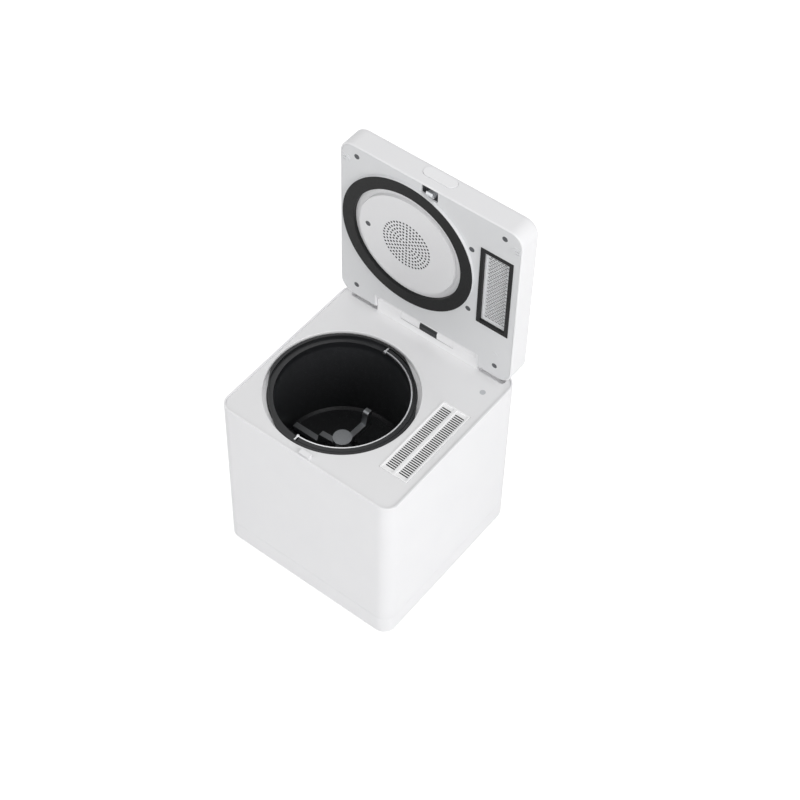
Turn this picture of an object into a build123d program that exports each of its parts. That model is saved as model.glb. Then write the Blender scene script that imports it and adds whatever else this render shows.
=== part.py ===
from build123d import *
from math import acos, atan2, cos, degrees, pi, radians, sin, tan
import os

# Electric food waste composter, lid swung open. Millimetres, +Z up, +X to the right of someone
# facing the front, -Y the front. The origin is the middle of the footprint, on the worktop.

# ---- driving dimensions: body ----
BODY_W = 300.0  # outside width of the casing
BODY_D = 292.7  # outside depth of the casing
BODY_R = 20.0  # vertical corner radius
CASE_H = 303.5  # underside of the tray to the casing's rim
WALL = 2.5  # moulded wall
FLOOR_T = 3.0  # tray floor
BASE_EDGE_R = 4.5  # rounding under the tray
SEAM_H = 37.0  # tray height up to the parting line
SEAM_GAP = 0.5  # shadow line between tray and casing
RIM_EDGE_R = 0.8  # softened top edge of the casing
LIP_T = 1.6  # tray lip that locates the casing
LIP_H = 6.0  # lip height above the seam
LIP_ROOT = 8.0  # lip depth below the seam
FIT = 0.3  # gap between moulded parts
MOVE = 0.4  # gap beside a part that moves
RUN = 0.05  # radial running clearance

# ---- feet, bosses and base screws ----
FOOT_H = 3.0
FOOT_R = 11.0
FOOT_SEAT = 1.2
FOOT_EDGE = 0.8
FOOT_SIDE = 42.0  # foot centre to the casing's side
FOOT_END = 42.35  # and to its front or back
BOSS_R = 6.0
BOSS_IN = 14.5  # boss centre to the inside of the wall
BOSS_JOINT = 60.0  # height where tray boss meets casing boss
RIB_T = 2.0
SCREW_R = 2.0
SCREW_L = 20.0
SCREW_HEAD_R = 3.8
SCREW_HEAD_T = 2.6
SCREW_SEAT_T = 6.0  # plastic left under the screw head

# ---- deck ----
DECK_DROP = 2.0  # deck below the rim
DECK_T = 2.5
OPEN_FRONT = 15.35  # deck and rim in front of the round opening
OPEN_BACK = 55.35  # and behind it, up to the casing's back
OPEN_LEFT = 7.0  # and to its left
OPEN_GAP = 10.2  # between the opening and the grille
OPEN_EDGE_R = 1.2
OPEN_WALL = 2.0
LEDGE_DROP = 10.0  # bucket ledge below the rim
LEDGE_T = 2.5
LEDGE_W = 5.6  # width of the ledge
SKIRT_T = 2.2
SKIRT_H = 14.5  # skirt below the ledge
SENSOR_SIDE = 28.0  # sensor to the casing's side
SENSOR_BACK = 46.35  # and to its back
SENSOR_R = 4.3
SENSOR_H = 6.0
SENSOR_FLANGE_R = 6.5
SENSOR_FLANGE_T = 1.5
TROUGH_SIDE = 14.0  # troughs beside the hinge, to the casing's side
TROUGH_BACK = 5.3  # and to its back
TROUGH_END = 1.6  # from the hinge's ends
TROUGH_H = 12.0
TROUGH_T = 2.0
TROUGH_R = 5.0

# ---- bucket ----
POT_IN = 13.3  # pot's inside to the collar's edge
POT_WALL = 2.5
POT_BOTTOM_Z = 145.0
POT_FLOOR_T = 3.0
POT_CORNER = 5.0
POT_FLANGE_T = 2.0
TURRET_R = 24.0  # hollow under the raised middle of the floor
TURRET_H = 18.0
TURRET_TAPER = 3.0
TURRET_TOP_T = 5.0
COLLAR_PLAY = 1.7  # radial gap round the collar
COLLAR_SKIRT_IN = 4.6  # collar skirt inside the collar's edge
COLLAR_SKIRT_H = 10.0  # collar depth below its shoulder
COLLAR_DROP = 5.0  # collar top below the rim
CHANNEL_DEPTH = 4.1  # groove that the bail lies in
CHANNEL_IN = 4.3  # groove's wall inside the collar's edge
CUT_IN = 6.0  # finger cut-outs: depth of the ellipse in the collar's edge
CUT_STRETCH = 25.0  # and how far the ellipse passes the opening the long way
CUT_TURN = 45.0
CUT_LIP = 2.0  # collar lip left beside the bail at a cut-out
BAIL_STRIP_OUT = 0.2  # bail strip outside the pot's inside
BAIL_STRIP_T = 1.8
BAIL_GRIP_IN = 0.8  # grip inside the groove's wall
BAIL_H = 3.6
BAIL_FLOOR_GAP = 0.3
BAIL_GRIP_START = 4.6  # grip begins this far from the pivot
BAIL_EDGE = 1.1
BAIL_EYE_R = 2.45
BAIL_PIN_R = 1.5
BAIL_PIN_IN = 3.0  # pin length held by the collar
BAIL_HEAD_T = 0.9
EYE_POCKET = 3.4

# ---- agitator ----
HEX_AF = 14.0
HEX_PLAY = 0.25
HEX_TOP_Z = 155.5
COUPLING_R = 20.0
COUPLING_Z = 147.5
COUPLING_H = 12.5
SOCKET_DEPTH = 9.0
STIRRER_SHAFT_R = 6.0
BUSH_R = 9.0
BUSH_FLANGE_R = 12.0
BUSH_FLANGE_T = 2.0
HUB_R = 14.0
HUB_H = 30.0
HUB_DOME = 5.0
BLADE_T = 9.0
BLADE_IN = 7.0  # blade tip to the pot's wall
BLADE_LOW = 4.0  # blade above the bucket floor
BLADE_H = 9.0
BREAKER_IN = 34.0  # breaker's tip to the pot's wall
BREAKER_H = 34.0

# ---- well ----
LINER_PLAY = 2.0  # radial gap round the bucket
LINER_T = 1.5
LINER_Z = 141.5
LINER_FLANGE = 6.1  # liner flange past the ledge's edge
HEATER_T = 6.0
HEATER_IN_R = 38.0
HEATER_IN = 8.5  # heater inside the liner's bore
HEATER_ROD_R = 3.2
HEATER_ROD_RISE = 2.0  # rod centre above the ring's underside
HEATER_ROD_IN = 26.0  # rod to the heater's edge
JACKET_T = 7.5
JACKET_LOW = 150.0
JACKET_GAP = 4.0  # jacket below the deck's skirt
PROBE_R = 4.0
PROBE_AT = 30.0

# ---- gearbox and motor ----
MODULE = 1.5
PRESSURE = 25.0
ADDENDUM = 0.8  # in modules
DEDENDUM = 1.1
BACKLASH = 0.16
OUT_TEETH = 44
IDLER_SMALL = 12
IDLER_BIG = 36
PINION_TEETH = 12
MOTOR_TURN = -60.0  # direction from the idler to the motor
GEARBOX_Z = 100.0
GEARBOX_H = 31.0
GEARBOX_WALL = 3.0
GEARBOX_SIDE = 49.0  # gearbox to the left of the output shaft
GEARBOX_END = 45.0  # and to the right of the motor's axis
GEARBOX_FRONT = 26.8  # in front of the motor's axis
GEARBOX_REAR = 46.0  # behind the output shaft
GEARBOX_R = 14.0
COVER_T = 3.0
POST_R = 7.0
POST_IN = 10.0
OUT_GEAR_Z = 107.0
OUT_GEAR_T = 10.0
IDLER_GEAR_Z = 119.5
IDLER_GEAR_T = 8.0
OUT_SHAFT_R = 8.0
IDLER_PIN_R = 4.0
BUSH_WALL = 4.0
LOWER_BUSH_H = 6.0
UPPER_BUSH_H = 7.5
COVER_BOSS_R = 19.0
COVER_BOSS_H = 5.0
LINER_HUB_T = 2.0
SEAL_R = 12.0
SEAL_FLANGE_R = 16.0
MOTOR_R = 26.0
MOTOR_L = 62.0
MOTOR_SHAFT_R = 3.0
MOTOR_NECK_R = 10.0

# ---- filter and blower ----
FILTER_SHIFT = 1.8  # grille's middle behind the bucket's
GRILLE_SIDE = 14.8  # grille to the casing's side
GRILLE_W = 46.0
GRILLE_D = 145.0
GRILLE_R = 1.8
GRILLE_PROUD = 1.0  # frame above the deck
GRILLE_WALL = 2.2
GRILLE_H = 4.5
GRILLE_PLATE_T = 1.6
GRILLE_PLATE_DROP = 2.0
GRILLE_RIB = 4.0
SLOT_COUNT = 34
SLOT_PITCH = 3.82
SLOT_W = 2.1
SLOT_L = 14.8
SLOT_ROW = 11.1  # slot row centre from the rib's centre
SLOT_SHIFT = -0.2  # rows sit a little towards the front
HOUSING_T = 1.5
HOUSING_Z = 170.0
HOUSING_IN = 1.3  # housing's inside to the cover's outline
FOAM_T = 6.0
CARTRIDGE_T = 1.4
CARTRIDGE_Z = 186.0
CARTRIDGE_PLAY = 0.7
CARTRIDGE_SLOTS = 7
CARTRIDGE_SLOT_W = 2.2
CARTRIDGE_SLOT_PITCH = 5.2
CARTRIDGE_LEDGE = 3.0
BED_TOP = 4.0
FAN_SHIFT = 20.2  # fan's axis behind the grille's middle
SCROLL_R = 33.0
SCROLL_H = 32.0
SCROLL_T = 1.6
FAN_INLET_R = 18.0
FAN_R = 27.0
FAN_HUB_R = 9.0
FAN_H = 22.0
FAN_BLADES = 24
FAN_BLADE_L = 7.0
FAN_BLADE_T = 1.0
FAN_MOTOR_R = 16.0
FAN_MOTOR_H = 20.0
FAN_SHAFT_R = 2.0
DUCT_W = 36.0
DUCT_START = 40.0  # from the fan's axis to the duct's joint
EXHAUST_W = 46.0
EXHAUST_H = 40.0
EXHAUST_R = 3.0
EXHAUST_FLANGE = 4.0
EXHAUST_T = 1.5
EXHAUST_SLOTS = 7
EXHAUST_SLOT_W = 2.6

# ---- board and inlet ----
BOARD_SIDE = 26.0  # board to the casing's side
BOARD_Z = 150.0
BOARD_W = 112.0
BOARD_H = 104.0
BOARD_T = 1.6
BOARD_GAP = 9.0  # behind the board
STANDOFF_R = 3.5
TRANSFORMER_W = 34.0
TRANSFORMER_H = 22.0
CAPACITOR_R = 7.0
CAPACITOR_H = 20.0
RELAY_W = 16.0
RELAY_D = 12.0
RELAY_H = 14.0
CONNECTOR_W = 42.0
CONNECTOR_D = 9.0
CONNECTOR_H = 12.0
INLET_SIDE = 50.0  # inlet's middle to the casing's side
INLET_Z = 68.0
INLET_W = 27.0
INLET_H = 20.0
INLET_R = 3.0
INLET_FLANGE = 2.2
INLET_FLANGE_T = 1.5
INLET_DEPTH = 24.0
INLET_SOCKET = 16.0
INLET_RIM = 1.3
PIN_W = 4.0
PIN_T = 2.0
PIN_PITCH = 7.0
PIN_DROP = 2.0
PIN_SHY = 3.0  # pin tip inside the socket's mouth
PIN_TAIL = 6.0

# ---- hinge ----
HINGE_IN = 6.15  # hinge axis inside the casing's back
HINGE_H = 15.6  # hinge axis above the rim
BARREL_R = 12.6  # housing round the axis
HINGE_X = 2.2  # middle of the hinge
HINGE_W = 177.5  # notch in the lid
KNUCKLE_W = 92.4
CABLE_X = 4.2
CABLE_W = 30.5
KNUCKLE_R = 12.1
KNUCKLE_ROOM = 0.5  # round the knuckle in the housing
NOTCH_D = 21.75  # depth of the notch in the lid
FLAT_D = 17.75  # flat front of housing and knuckle to the casing's back
BACK_IN = 0.6  # hinge back inside the casing's back
HINGE_PIN_R = 3.0
HINGE_PIN_NEAR = 20.0
HINGE_PIN_FAR = 58.0
DAMPER_R = 8.0
DAMPER_L = 24.0
WEB_LOW = 2.0  # web of the knuckle below the axis

# ---- lid ----
LID_T = 37.8
LID_R = 22.0
LID_GAP = 0.4  # lid above the rim when shut
LID_TOP_EDGE = 6.0
LID_LOW_EDGE = 2.0
LID_WALL = 2.5
PANEL_T = 2.5
NOTCH_H = 31.0
GASKET_IN = 0.5  # gasket's edge inside the opening's
GASKET_W = 19.5  # width of the gasket
GASKET_PROUD = 5.2
GASKET_CAP = 0.8  # rubber on the face of the panel's ring
GASKET_LIP = 2.0  # rubber inside the ring
GASKET_SEAT = 1.0
GASKET_EDGE = 0.3
DISC_GROOVE = 10.2  # disc's flat to the gasket's inner edge
DISC_DRAFT = 1.0  # foot of the disc's wall outside its flat
DISC_PROUD = 4.7
DISC_T = 1.6
DISC_FLANGE_T = 1.0  # flange that the gasket's seat holds
PANEL_SHELF = 4.5  # panel under the gasket's inner edge
HOLE_R = 1.75
HOLE_PITCH = 5.5
HOLE_RINGS = 7
HOLE_TURN = 90.0
WINDOW_W = 52.5
WINDOW_D = 144.3
WINDOW_BORDER = 6.0
WINDOW_PROUD = 1.0
WINDOW_DEPTH = 3.0
WINDOW_SLEEVE = 3.0
MESH_FRAME = 2.2
MESH_FRAME_H = 4.0
MESH_T = 0.9
MESH_ROWS = 35
MESH_COLS = 6
MESH_PITCH_X = 5.6
MESH_PITCH_Y = 3.55
MESH_BAR = 1.5  # bar between rows
MESH_TIE = 0.8  # tie between openings in a row
PLUG_R = 4.3
PLUG_T = 1.2
LID_BOSS_R = 4.8
CUP_R = 6.0
CUP_H = 5.5
LID_SCREW_R = 1.6
LID_SCREW_HEAD_R = 3.2
LID_SCREW_HEAD_T = 2.2
LID_SCREW_L = 9.0
PLUG_SIDE = 28.5  # corner plugs to the lid's side
PLUG_FRONT_IN = 18.35  # to its front
PLUG_BACK_IN = 22.35  # and to its back
MID_PLUG_X = 40.7  # plugs beside the window, to its middle
MID_PLUG_FRONT = 56.0  # in front of the bucket's middle
MID_PLUG_BACK = 60.0  # and behind it
DISC_PLUG_IN = 14.8  # plug to the edge of the disc's flat
TAB_IN = 10.2  # tab's round to the lid's side
TAB_FRONT = 30.35  # tab to the lid's front
TAB_R = 6.6
TAB_EDGE_IN = 3.2  # tab's straight end to the lid's side
TAB_PROUD = 1.3
TAB_SLOT = 1.2
TAB_SLOT_L = 6.5
TAB_SLOT_AT = 2.3
MAGNET_SHIFT = 1.0  # magnet from the middle of the sensor
MAGNET_BOSS_R = 4.5
MAGNET_BOSS_H = 0.6
MAGNET_R = 4.0
MAGNET_H = 4.0
AIR_OUT = 8.0  # air channel past the gasket's inner edge
AIR_MARGIN = 2.0
CHANNEL_H = 15.0  # air channel inside the lid
CHANNEL_T = 1.6
TOUCH_W = 120.0
TOUCH_D = 30.0
TOUCH_FRONT = 51.35  # touch panel's middle to the lid's front
TOUCH_T = 1.2

# ---- latch ----
STRIKER_W = 18.0
STRIKER_D = 7.4
STRIKER_IN = 4.15  # striker to the casing's front
STRIKER_H = 5.2
STRIKER_EDGE = 1.0
CATCH_W = 13.0
CATCH_DEPTH = 3.2
CATCH_LOW = 0.9
CATCH_H = 2.6
RECESS_W = 27.0
RECESS_D = 21.6  # recess's back to the lid's front
RECESS_T = 1.3
RECESS_H = 35.0
RECESS_FLOOR = 9.0  # floor either side of the hook
HOOK_ROOM = 2.8  # behind the arm, for its swing
RECESS_RING = 0.5  # panel left between recess and gasket
HOOK_W = 14.0
HOOK_X = 1.5
HOOK_IN = 13.15  # front of the hook's arm to the lid's front
HOOK_T = 2.0
HOOK_NOSE = 3.3
HOOK_NOSE_TOP = 0.7
HOOK_LOW = 1.9  # arm below the lid's underside
HOOK_PIVOT_H = 31.5
HOOK_PIVOT_R = 3.2
HOOK_PIN_R = 1.5
BUTTON_W = 53.0
BUTTON_H = 18.0
BUTTON_MID = 23.0
BUTTON_PROUD = 0.8
BUTTON_T = 2.2
BUTTON_FLANGE = 1.4
BUTTON_TRAVEL = 1.5
STEM_W = 10.0
STEM_T = 3.0
STEM_H = 15.5  # stem height in the lid
SPRING_R = 2.8
SPRING_PLAY = 0.5
SPRING_L = 4.0

# ---- places worked out from the sizes above ----
SEAM_Z = FOOT_H + SEAM_H
RIM_Z = FOOT_H + CASE_H
DECK_Z = RIM_Z - DECK_DROP
DECK_UNDER = DECK_Z - DECK_T
LEDGE_Z = RIM_Z - LEDGE_DROP
SKIRT_Z = LEDGE_Z - SKIRT_H
TROUGH_Z = DECK_Z - TROUGH_H
TROUGH_UNDER = TROUGH_Z - TROUGH_T
# the opening is as large as the deck allows both ways, and the bucket follows it
OPEN_R = (
    min(
        BODY_D - OPEN_FRONT - OPEN_BACK,
        BODY_W - OPEN_LEFT - OPEN_GAP - GRILLE_W - GRILLE_SIDE,
    )
    / 2
)
BUCKET_X = OPEN_LEFT + OPEN_R - BODY_W / 2
BUCKET_Y = OPEN_FRONT + OPEN_R - BODY_D / 2
BUCKET = (BUCKET_X, BUCKET_Y)
LEDGE_IN_R = OPEN_R - LEDGE_W
COLLAR_R = OPEN_R - COLLAR_PLAY
COLLAR_SKIRT_R = COLLAR_R - COLLAR_SKIRT_IN
POT_FLANGE_R = COLLAR_SKIRT_R - MOVE
POT_R = COLLAR_R - POT_IN
CHANNEL_R = COLLAR_R - CHANNEL_IN
CUT_A = COLLAR_R - CUT_IN
CUT_B = OPEN_R + CUT_STRETCH
BAIL_STRIP_R = POT_R + BAIL_STRIP_OUT
BAIL_GRIP_R = CHANNEL_R - BAIL_GRIP_IN
BLADE_R = POT_R - BLADE_IN
BREAKER_R = POT_R - BREAKER_IN
LINER_FLANGE_R = LEDGE_IN_R + LINER_FLANGE
FILTER_X = BODY_W / 2 - GRILLE_SIDE - GRILLE_W / 2
FILTER_Y = BUCKET_Y + FILTER_SHIFT
FILTER = (FILTER_X, FILTER_Y)
FAN_Y = FILTER_Y + FAN_SHIFT
FAN = (FILTER_X, FAN_Y)
DUCT_X = FILTER_X - SCROLL_R + DUCT_W / 2
DUCT_Z = HOUSING_Z - SCROLL_H / 2
FOOT_X = BODY_W / 2 - FOOT_SIDE
FOOT_Y = BODY_D / 2 - FOOT_END
BOSS_X = BODY_W / 2 - WALL - BOSS_IN
BOSS_Y = BODY_D / 2 - WALL - BOSS_IN
REAR_IN = BODY_D / 2 - WALL
SENSOR_X = BODY_W / 2 - SENSOR_SIDE
SENSOR_Y = BODY_D / 2 - SENSOR_BACK
STRIKER_FRONT = BODY_D / 2 - STRIKER_IN
BOARD_X = BOARD_SIDE + BOARD_W / 2 - BODY_W / 2
INLET_X = INLET_SIDE - BODY_W / 2
JACKET_TOP = SKIRT_Z - JACKET_GAP
# the gear centres follow from module and teeth, and the gearbox from the gears
IDLER_AT = MODULE * (OUT_TEETH + IDLER_SMALL) / 2
MOTOR_AT = MODULE * (IDLER_BIG + PINION_TEETH) / 2
IDLER = (BUCKET_X + IDLER_AT, BUCKET_Y)
MOTOR = (
    IDLER[0] + MOTOR_AT * cos(radians(MOTOR_TURN)),
    IDLER[1] + MOTOR_AT * sin(radians(MOTOR_TURN)),
)
GEARBOX_W = GEARBOX_SIDE + MOTOR[0] - BUCKET_X + GEARBOX_END
GEARBOX_D = GEARBOX_FRONT + BUCKET_Y - MOTOR[1] + GEARBOX_REAR
GEARBOX = (
    BUCKET_X - GEARBOX_SIDE + GEARBOX_W / 2,
    BUCKET_Y + GEARBOX_REAR - GEARBOX_D / 2,
)
HINGE_Y = BODY_D / 2 - HINGE_IN
HINGE_Z = RIM_Z + HINGE_H
NOTCH_Y = BODY_D / 2 - NOTCH_D
FLAT_Y = BODY_D / 2 - FLAT_D
HOUSING_LEFT = HINGE_X - HINGE_W / 2 + 2 * FIT
HOUSING_RIGHT = HINGE_X + HINGE_W / 2 - 2 * FIT
GASKET_R = OPEN_R - GASKET_IN
GASKET_IN_R = GASKET_R - GASKET_W
SEAT_R = GASKET_IN_R + GASKET_LIP
DISC_FLAT_R = GASKET_IN_R - DISC_GROOVE
DISC_PLUG = DISC_FLAT_R - DISC_PLUG_IN
PANEL_HOLE_R = GASKET_IN_R - PANEL_SHELF
AIR_R = GASKET_IN_R + AIR_OUT
PLUG_X = BODY_W / 2 - PLUG_SIDE
PLUG_FRONT = PLUG_FRONT_IN - BODY_D / 2
PLUG_BACK = BODY_D / 2 - PLUG_BACK_IN
PLUG_SIDE_X = FILTER_X - MID_PLUG_X
PLUG_SIDE_FRONT = BUCKET_Y - MID_PLUG_FRONT
PLUG_SIDE_BACK = BUCKET_Y + MID_PLUG_BACK
TAB_X = BODY_W / 2 - TAB_IN
TAB_Y = TAB_FRONT - BODY_D / 2
TAB_EDGE = BODY_W / 2 - TAB_EDGE_IN
MAGNET_X = SENSOR_X - MAGNET_SHIFT
MAGNET_Y = SENSOR_Y + MAGNET_SHIFT
TOUCH_Y = TOUCH_FRONT - BODY_D / 2
RECESS_BACK = BODY_D / 2 - RECESS_D
HOOK_Y = BODY_D / 2 - HOOK_IN
LID_Y = HINGE_Y - (HINGE_H - LID_GAP)
LID_Z = HINGE_Z + HINGE_Y
# The lid is drawn as if shut, x and y over the body and height above its underside, on this plane,
# which stands it open: the underside faces the front and the lid's front edge is at the top.
LID = Plane(origin=(0, LID_Y, LID_Z), x_dir=(1, 0, 0), z_dir=(0, 1, 0))


def disc(z, radius, bore=0.0, at=BUCKET, plane=Plane.XY):
    """A round face, or a ring, at height z."""
    with BuildSketch(plane.offset(z)) as face:
        with Locations(at):
            Circle(radius)
            if bore:
                Circle(bore, mode=Mode.SUBTRACT)
    return face.sketch


def rect(z, width, depth, radius=0.0, at=(0, 0), plane=Plane.XY):
    """A rectangle, with rounded corners if a radius is given, at height z."""
    with BuildSketch(plane.offset(z)) as face:
        with Locations(at):
            if radius:
                RectangleRounded(width, depth, radius)
            else:
                Rectangle(width, depth)
    return face.sketch


def four(z, radius, across, along, at=(0, 0), bore=0.0):
    """Four round faces at the corners of a rectangle, at height z."""
    with BuildSketch(Plane.XY.offset(z)) as face:
        with Locations(at):
            with GridLocations(across, along, 2, 2):
                Circle(radius)
                if bore:
                    Circle(bore, mode=Mode.SUBTRACT)
    return face.sketch


def body_ring(z, inset, thick):
    """The casing's outline drawn inwards by inset, as a band of the given thickness."""
    with BuildSketch(Plane.XY.offset(z)) as face:
        RectangleRounded(BODY_W - 2 * inset, BODY_D - 2 * inset, BODY_R - inset)
        inner = inset + thick
        RectangleRounded(BODY_W - 2 * inner, BODY_D - 2 * inner, BODY_R - inner, mode=Mode.SUBTRACT)
    return face.sketch


def rear_rect(y, x, z, width, height, radius):
    """A rounded rectangle facing the back; extruding it runs towards the front."""
    return rect(-y, width, height, radius, (x, z), Plane.XZ)


def side(x, points):
    """A closed outline in Y and Z at the given x."""
    with BuildSketch(Plane.YZ.offset(x)) as face:
        with BuildLine():
            Polyline(*points, close=True)
        make_face()
    return face.sketch


def lid_side(x, points):
    """The same for the lid: the points are y with the lid shut and height above its underside."""
    return side(x, [(LID_Y + h, LID_Z - y) for y, h in points])


def barrel(x, radius, bore=0.0):
    """A round face, or a ring, on the hinge axis at the given x."""
    return disc(x, radius, bore, (HINGE_Y, HINGE_Z), Plane.YZ)


# ---- base tray: floor, wall up to the seam, a lip inside the casing and posts ----
with BuildPart() as base_tray:
    extrude(rect(FOOT_H, BODY_W, BODY_D, BODY_R), amount=SEAM_H)
    fillet(base_tray.faces().sort_by(Axis.Z)[0].edges(), BASE_EDGE_R)
    extrude(
        rect(FOOT_H + FLOOR_T, BODY_W - 2 * WALL, BODY_D - 2 * WALL, BODY_R - WALL),
        amount=SEAM_H,
        mode=Mode.SUBTRACT,
    )
    extrude(body_ring(SEAM_Z - LIP_ROOT, WALL / 2, WALL / 2 + FIT + LIP_T), amount=LIP_ROOT)
    extrude(body_ring(SEAM_Z - LIP_ROOT, WALL + FIT, LIP_T), amount=LIP_ROOT + LIP_H)
    extrude(four(FOOT_H, BOSS_R, 2 * BOSS_X, 2 * BOSS_Y), amount=BOSS_JOINT - FOOT_H)
    extrude(
        four(FOOT_H, POST_R, GEARBOX_W - 2 * POST_IN, GEARBOX_D - 2 * POST_IN, GEARBOX),
        amount=GEARBOX_Z - FOOT_H,
    )
    # screw holes with deep seats, and shallow seats for the feet
    extrude(
        four(FOOT_H, SCREW_R + FIT, 2 * BOSS_X, 2 * BOSS_Y),
        amount=BOSS_JOINT - FOOT_H,
        mode=Mode.SUBTRACT,
    )
    extrude(
        four(FOOT_H, SCREW_HEAD_R + MOVE, 2 * BOSS_X, 2 * BOSS_Y),
        amount=BOSS_JOINT - SCREW_SEAT_T - FOOT_H,
        mode=Mode.SUBTRACT,
    )
    extrude(four(FOOT_H, FOOT_R, 2 * FOOT_X, 2 * FOOT_Y), amount=FOOT_SEAT, mode=Mode.SUBTRACT)
base_tray.part.label = "base_tray"
export_step(base_tray.part, "parts/base_tray.step")

# ---- four rubber feet in their seats ----
with BuildPart() as rubber_feet:
    extrude(four(0, FOOT_R - FIT, 2 * FOOT_X, 2 * FOOT_Y), amount=FOOT_H + FOOT_SEAT)
    fillet(rubber_feet.faces().group_by(Axis.Z)[0].edges(), FOOT_EDGE)
rubber_feet.part.label = "rubber_feet"
export_step(rubber_feet.part, "parts/rubber_feet.step")

# ---- four screws that hold the tray to the casing ----
with BuildPart() as base_screws:
    head_z = BOSS_JOINT - SCREW_SEAT_T - SCREW_HEAD_T
    extrude(four(head_z, SCREW_HEAD_R, 2 * BOSS_X, 2 * BOSS_Y), amount=SCREW_HEAD_T)
    extrude(four(head_z, SCREW_R, 2 * BOSS_X, 2 * BOSS_Y), amount=SCREW_HEAD_T + SCREW_L)
base_screws.part.label = "base_screws"
export_step(base_screws.part, "parts/base_screws.step")

# ---- outer casing: rounded square tube with corner bosses, rear openings and board posts ----
BOARD_BACK = REAR_IN - BOARD_GAP
with BuildPart() as outer_casing:
    extrude(body_ring(SEAM_Z + SEAM_GAP, 0, WALL), amount=RIM_Z - SEAM_Z - SEAM_GAP)
    fillet(outer_casing.faces().sort_by(Axis.Z)[-1].outer_wire().edges(), RIM_EDGE_R)
    extrude(four(BOSS_JOINT, BOSS_R, 2 * BOSS_X, 2 * BOSS_Y), amount=DECK_UNDER - BOSS_JOINT)
    with BuildSketch(Plane.XY.offset(BOSS_JOINT)):
        with GridLocations(2 * BOSS_X + BOSS_IN, 2 * BOSS_Y, 2, 2):
            Rectangle(BOSS_IN + WALL, RIB_T)
        with GridLocations(2 * BOSS_X, 2 * BOSS_Y + BOSS_IN, 2, 2):
            Rectangle(RIB_T, BOSS_IN + WALL)
    extrude(amount=DECK_UNDER - BOSS_JOINT)
    # the two rear bosses end under the deck's troughs
    with BuildSketch(Plane.XY.offset(TROUGH_UNDER)):
        RectangleRounded(BODY_W - 2 * WALL, BODY_D - 2 * WALL, BODY_R - WALL)
        Rectangle(BODY_W, BODY_D, align=(Align.CENTER, Align.MAX), mode=Mode.SUBTRACT)
    extrude(amount=DECK_UNDER - TROUGH_UNDER, mode=Mode.SUBTRACT)
    extrude(
        four(BOSS_JOINT, SCREW_R + RUN, 2 * BOSS_X, 2 * BOSS_Y), amount=SCREW_L, mode=Mode.SUBTRACT
    )
    extrude(
        rear_rect(BODY_D / 2 + 1, DUCT_X, DUCT_Z, EXHAUST_W + FIT, EXHAUST_H + FIT, EXHAUST_R),
        amount=WALL + 2,
        mode=Mode.SUBTRACT,
    )
    extrude(
        rear_rect(BODY_D / 2 + 1, INLET_X, INLET_Z, INLET_W + FIT, INLET_H + FIT, INLET_R),
        amount=WALL + 2,
        mode=Mode.SUBTRACT,
    )
    with BuildSketch(Plane.XZ.offset(-REAR_IN - WALL / 2)):
        with Locations((BOARD_X, BOARD_Z)):
            with GridLocations(BOARD_W - 4 * STANDOFF_R, BOARD_H - 4 * STANDOFF_R, 2, 2):
                Circle(STANDOFF_R)
    extrude(amount=BOARD_GAP + WALL / 2)
outer_casing.part.label = "outer_casing"
export_step(outer_casing.part, "parts/outer_casing.step")

# ---- deck panel: plate inside the rim, round opening with a wall, ledge and skirt, and a trough
# either side of the hinge that clears the lid's rear edge as it swings ----
trough_d = BODY_D / 2 - TROUGH_BACK - FLAT_Y
trough_end = BODY_W / 2 - TROUGH_SIDE
TROUGHS = [
    ((x0 + x1) / 2, x1 - x0)
    for x0, x1 in (
        (-trough_end, HOUSING_LEFT - TROUGH_END),
        (HOUSING_RIGHT + TROUGH_END, trough_end),
    )
]
with BuildPart() as deck_panel:
    inset = WALL + FIT
    extrude(
        rect(DECK_UNDER, BODY_W - 2 * inset, BODY_D - 2 * inset, BODY_R - inset), amount=DECK_T
    )
    extrude(disc(LEDGE_Z - LEDGE_T, OPEN_R + OPEN_WALL), amount=DECK_Z - LEDGE_Z + LEDGE_T)
    extrude(disc(LEDGE_Z, OPEN_R), amount=DECK_Z - LEDGE_Z, mode=Mode.SUBTRACT)
    fillet(deck_panel.edges().filter_by(GeomType.CIRCLE).group_by(Axis.Z)[-1].sort_by(
        lambda edge: edge.radius)[-1], OPEN_EDGE_R)
    extrude(disc(SKIRT_Z, LEDGE_IN_R + SKIRT_T), amount=SKIRT_H)
    extrude(disc(SKIRT_Z, LEDGE_IN_R), amount=SKIRT_H + LEDGE_DROP, mode=Mode.SUBTRACT)
    extrude(
        rect(DECK_UNDER, GRILLE_W + 2 * FIT, GRILLE_D + 2 * FIT, GRILLE_R, (FILTER_X, FILTER_Y)),
        amount=DECK_T,
        mode=Mode.SUBTRACT,
    )
    extrude(
        disc(DECK_UNDER, SENSOR_R + RUN, at=(SENSOR_X, SENSOR_Y)), amount=DECK_T, mode=Mode.SUBTRACT
    )
    for x, width in TROUGHS:
        at = (x, FLAT_Y + trough_d / 2)
        outer_w = width + 2 * TROUGH_T
        outer_d = trough_d + 2 * TROUGH_T
        extrude(
            rect(TROUGH_UNDER, outer_w, outer_d, TROUGH_R + TROUGH_T, at),
            amount=DECK_UNDER - TROUGH_UNDER,
        )
        extrude(
            rect(TROUGH_Z, width, trough_d, TROUGH_R, at), amount=TROUGH_H, mode=Mode.SUBTRACT
        )
deck_panel.part.label = "deck_panel"
export_step(deck_panel.part, "parts/deck_panel.step")

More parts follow.
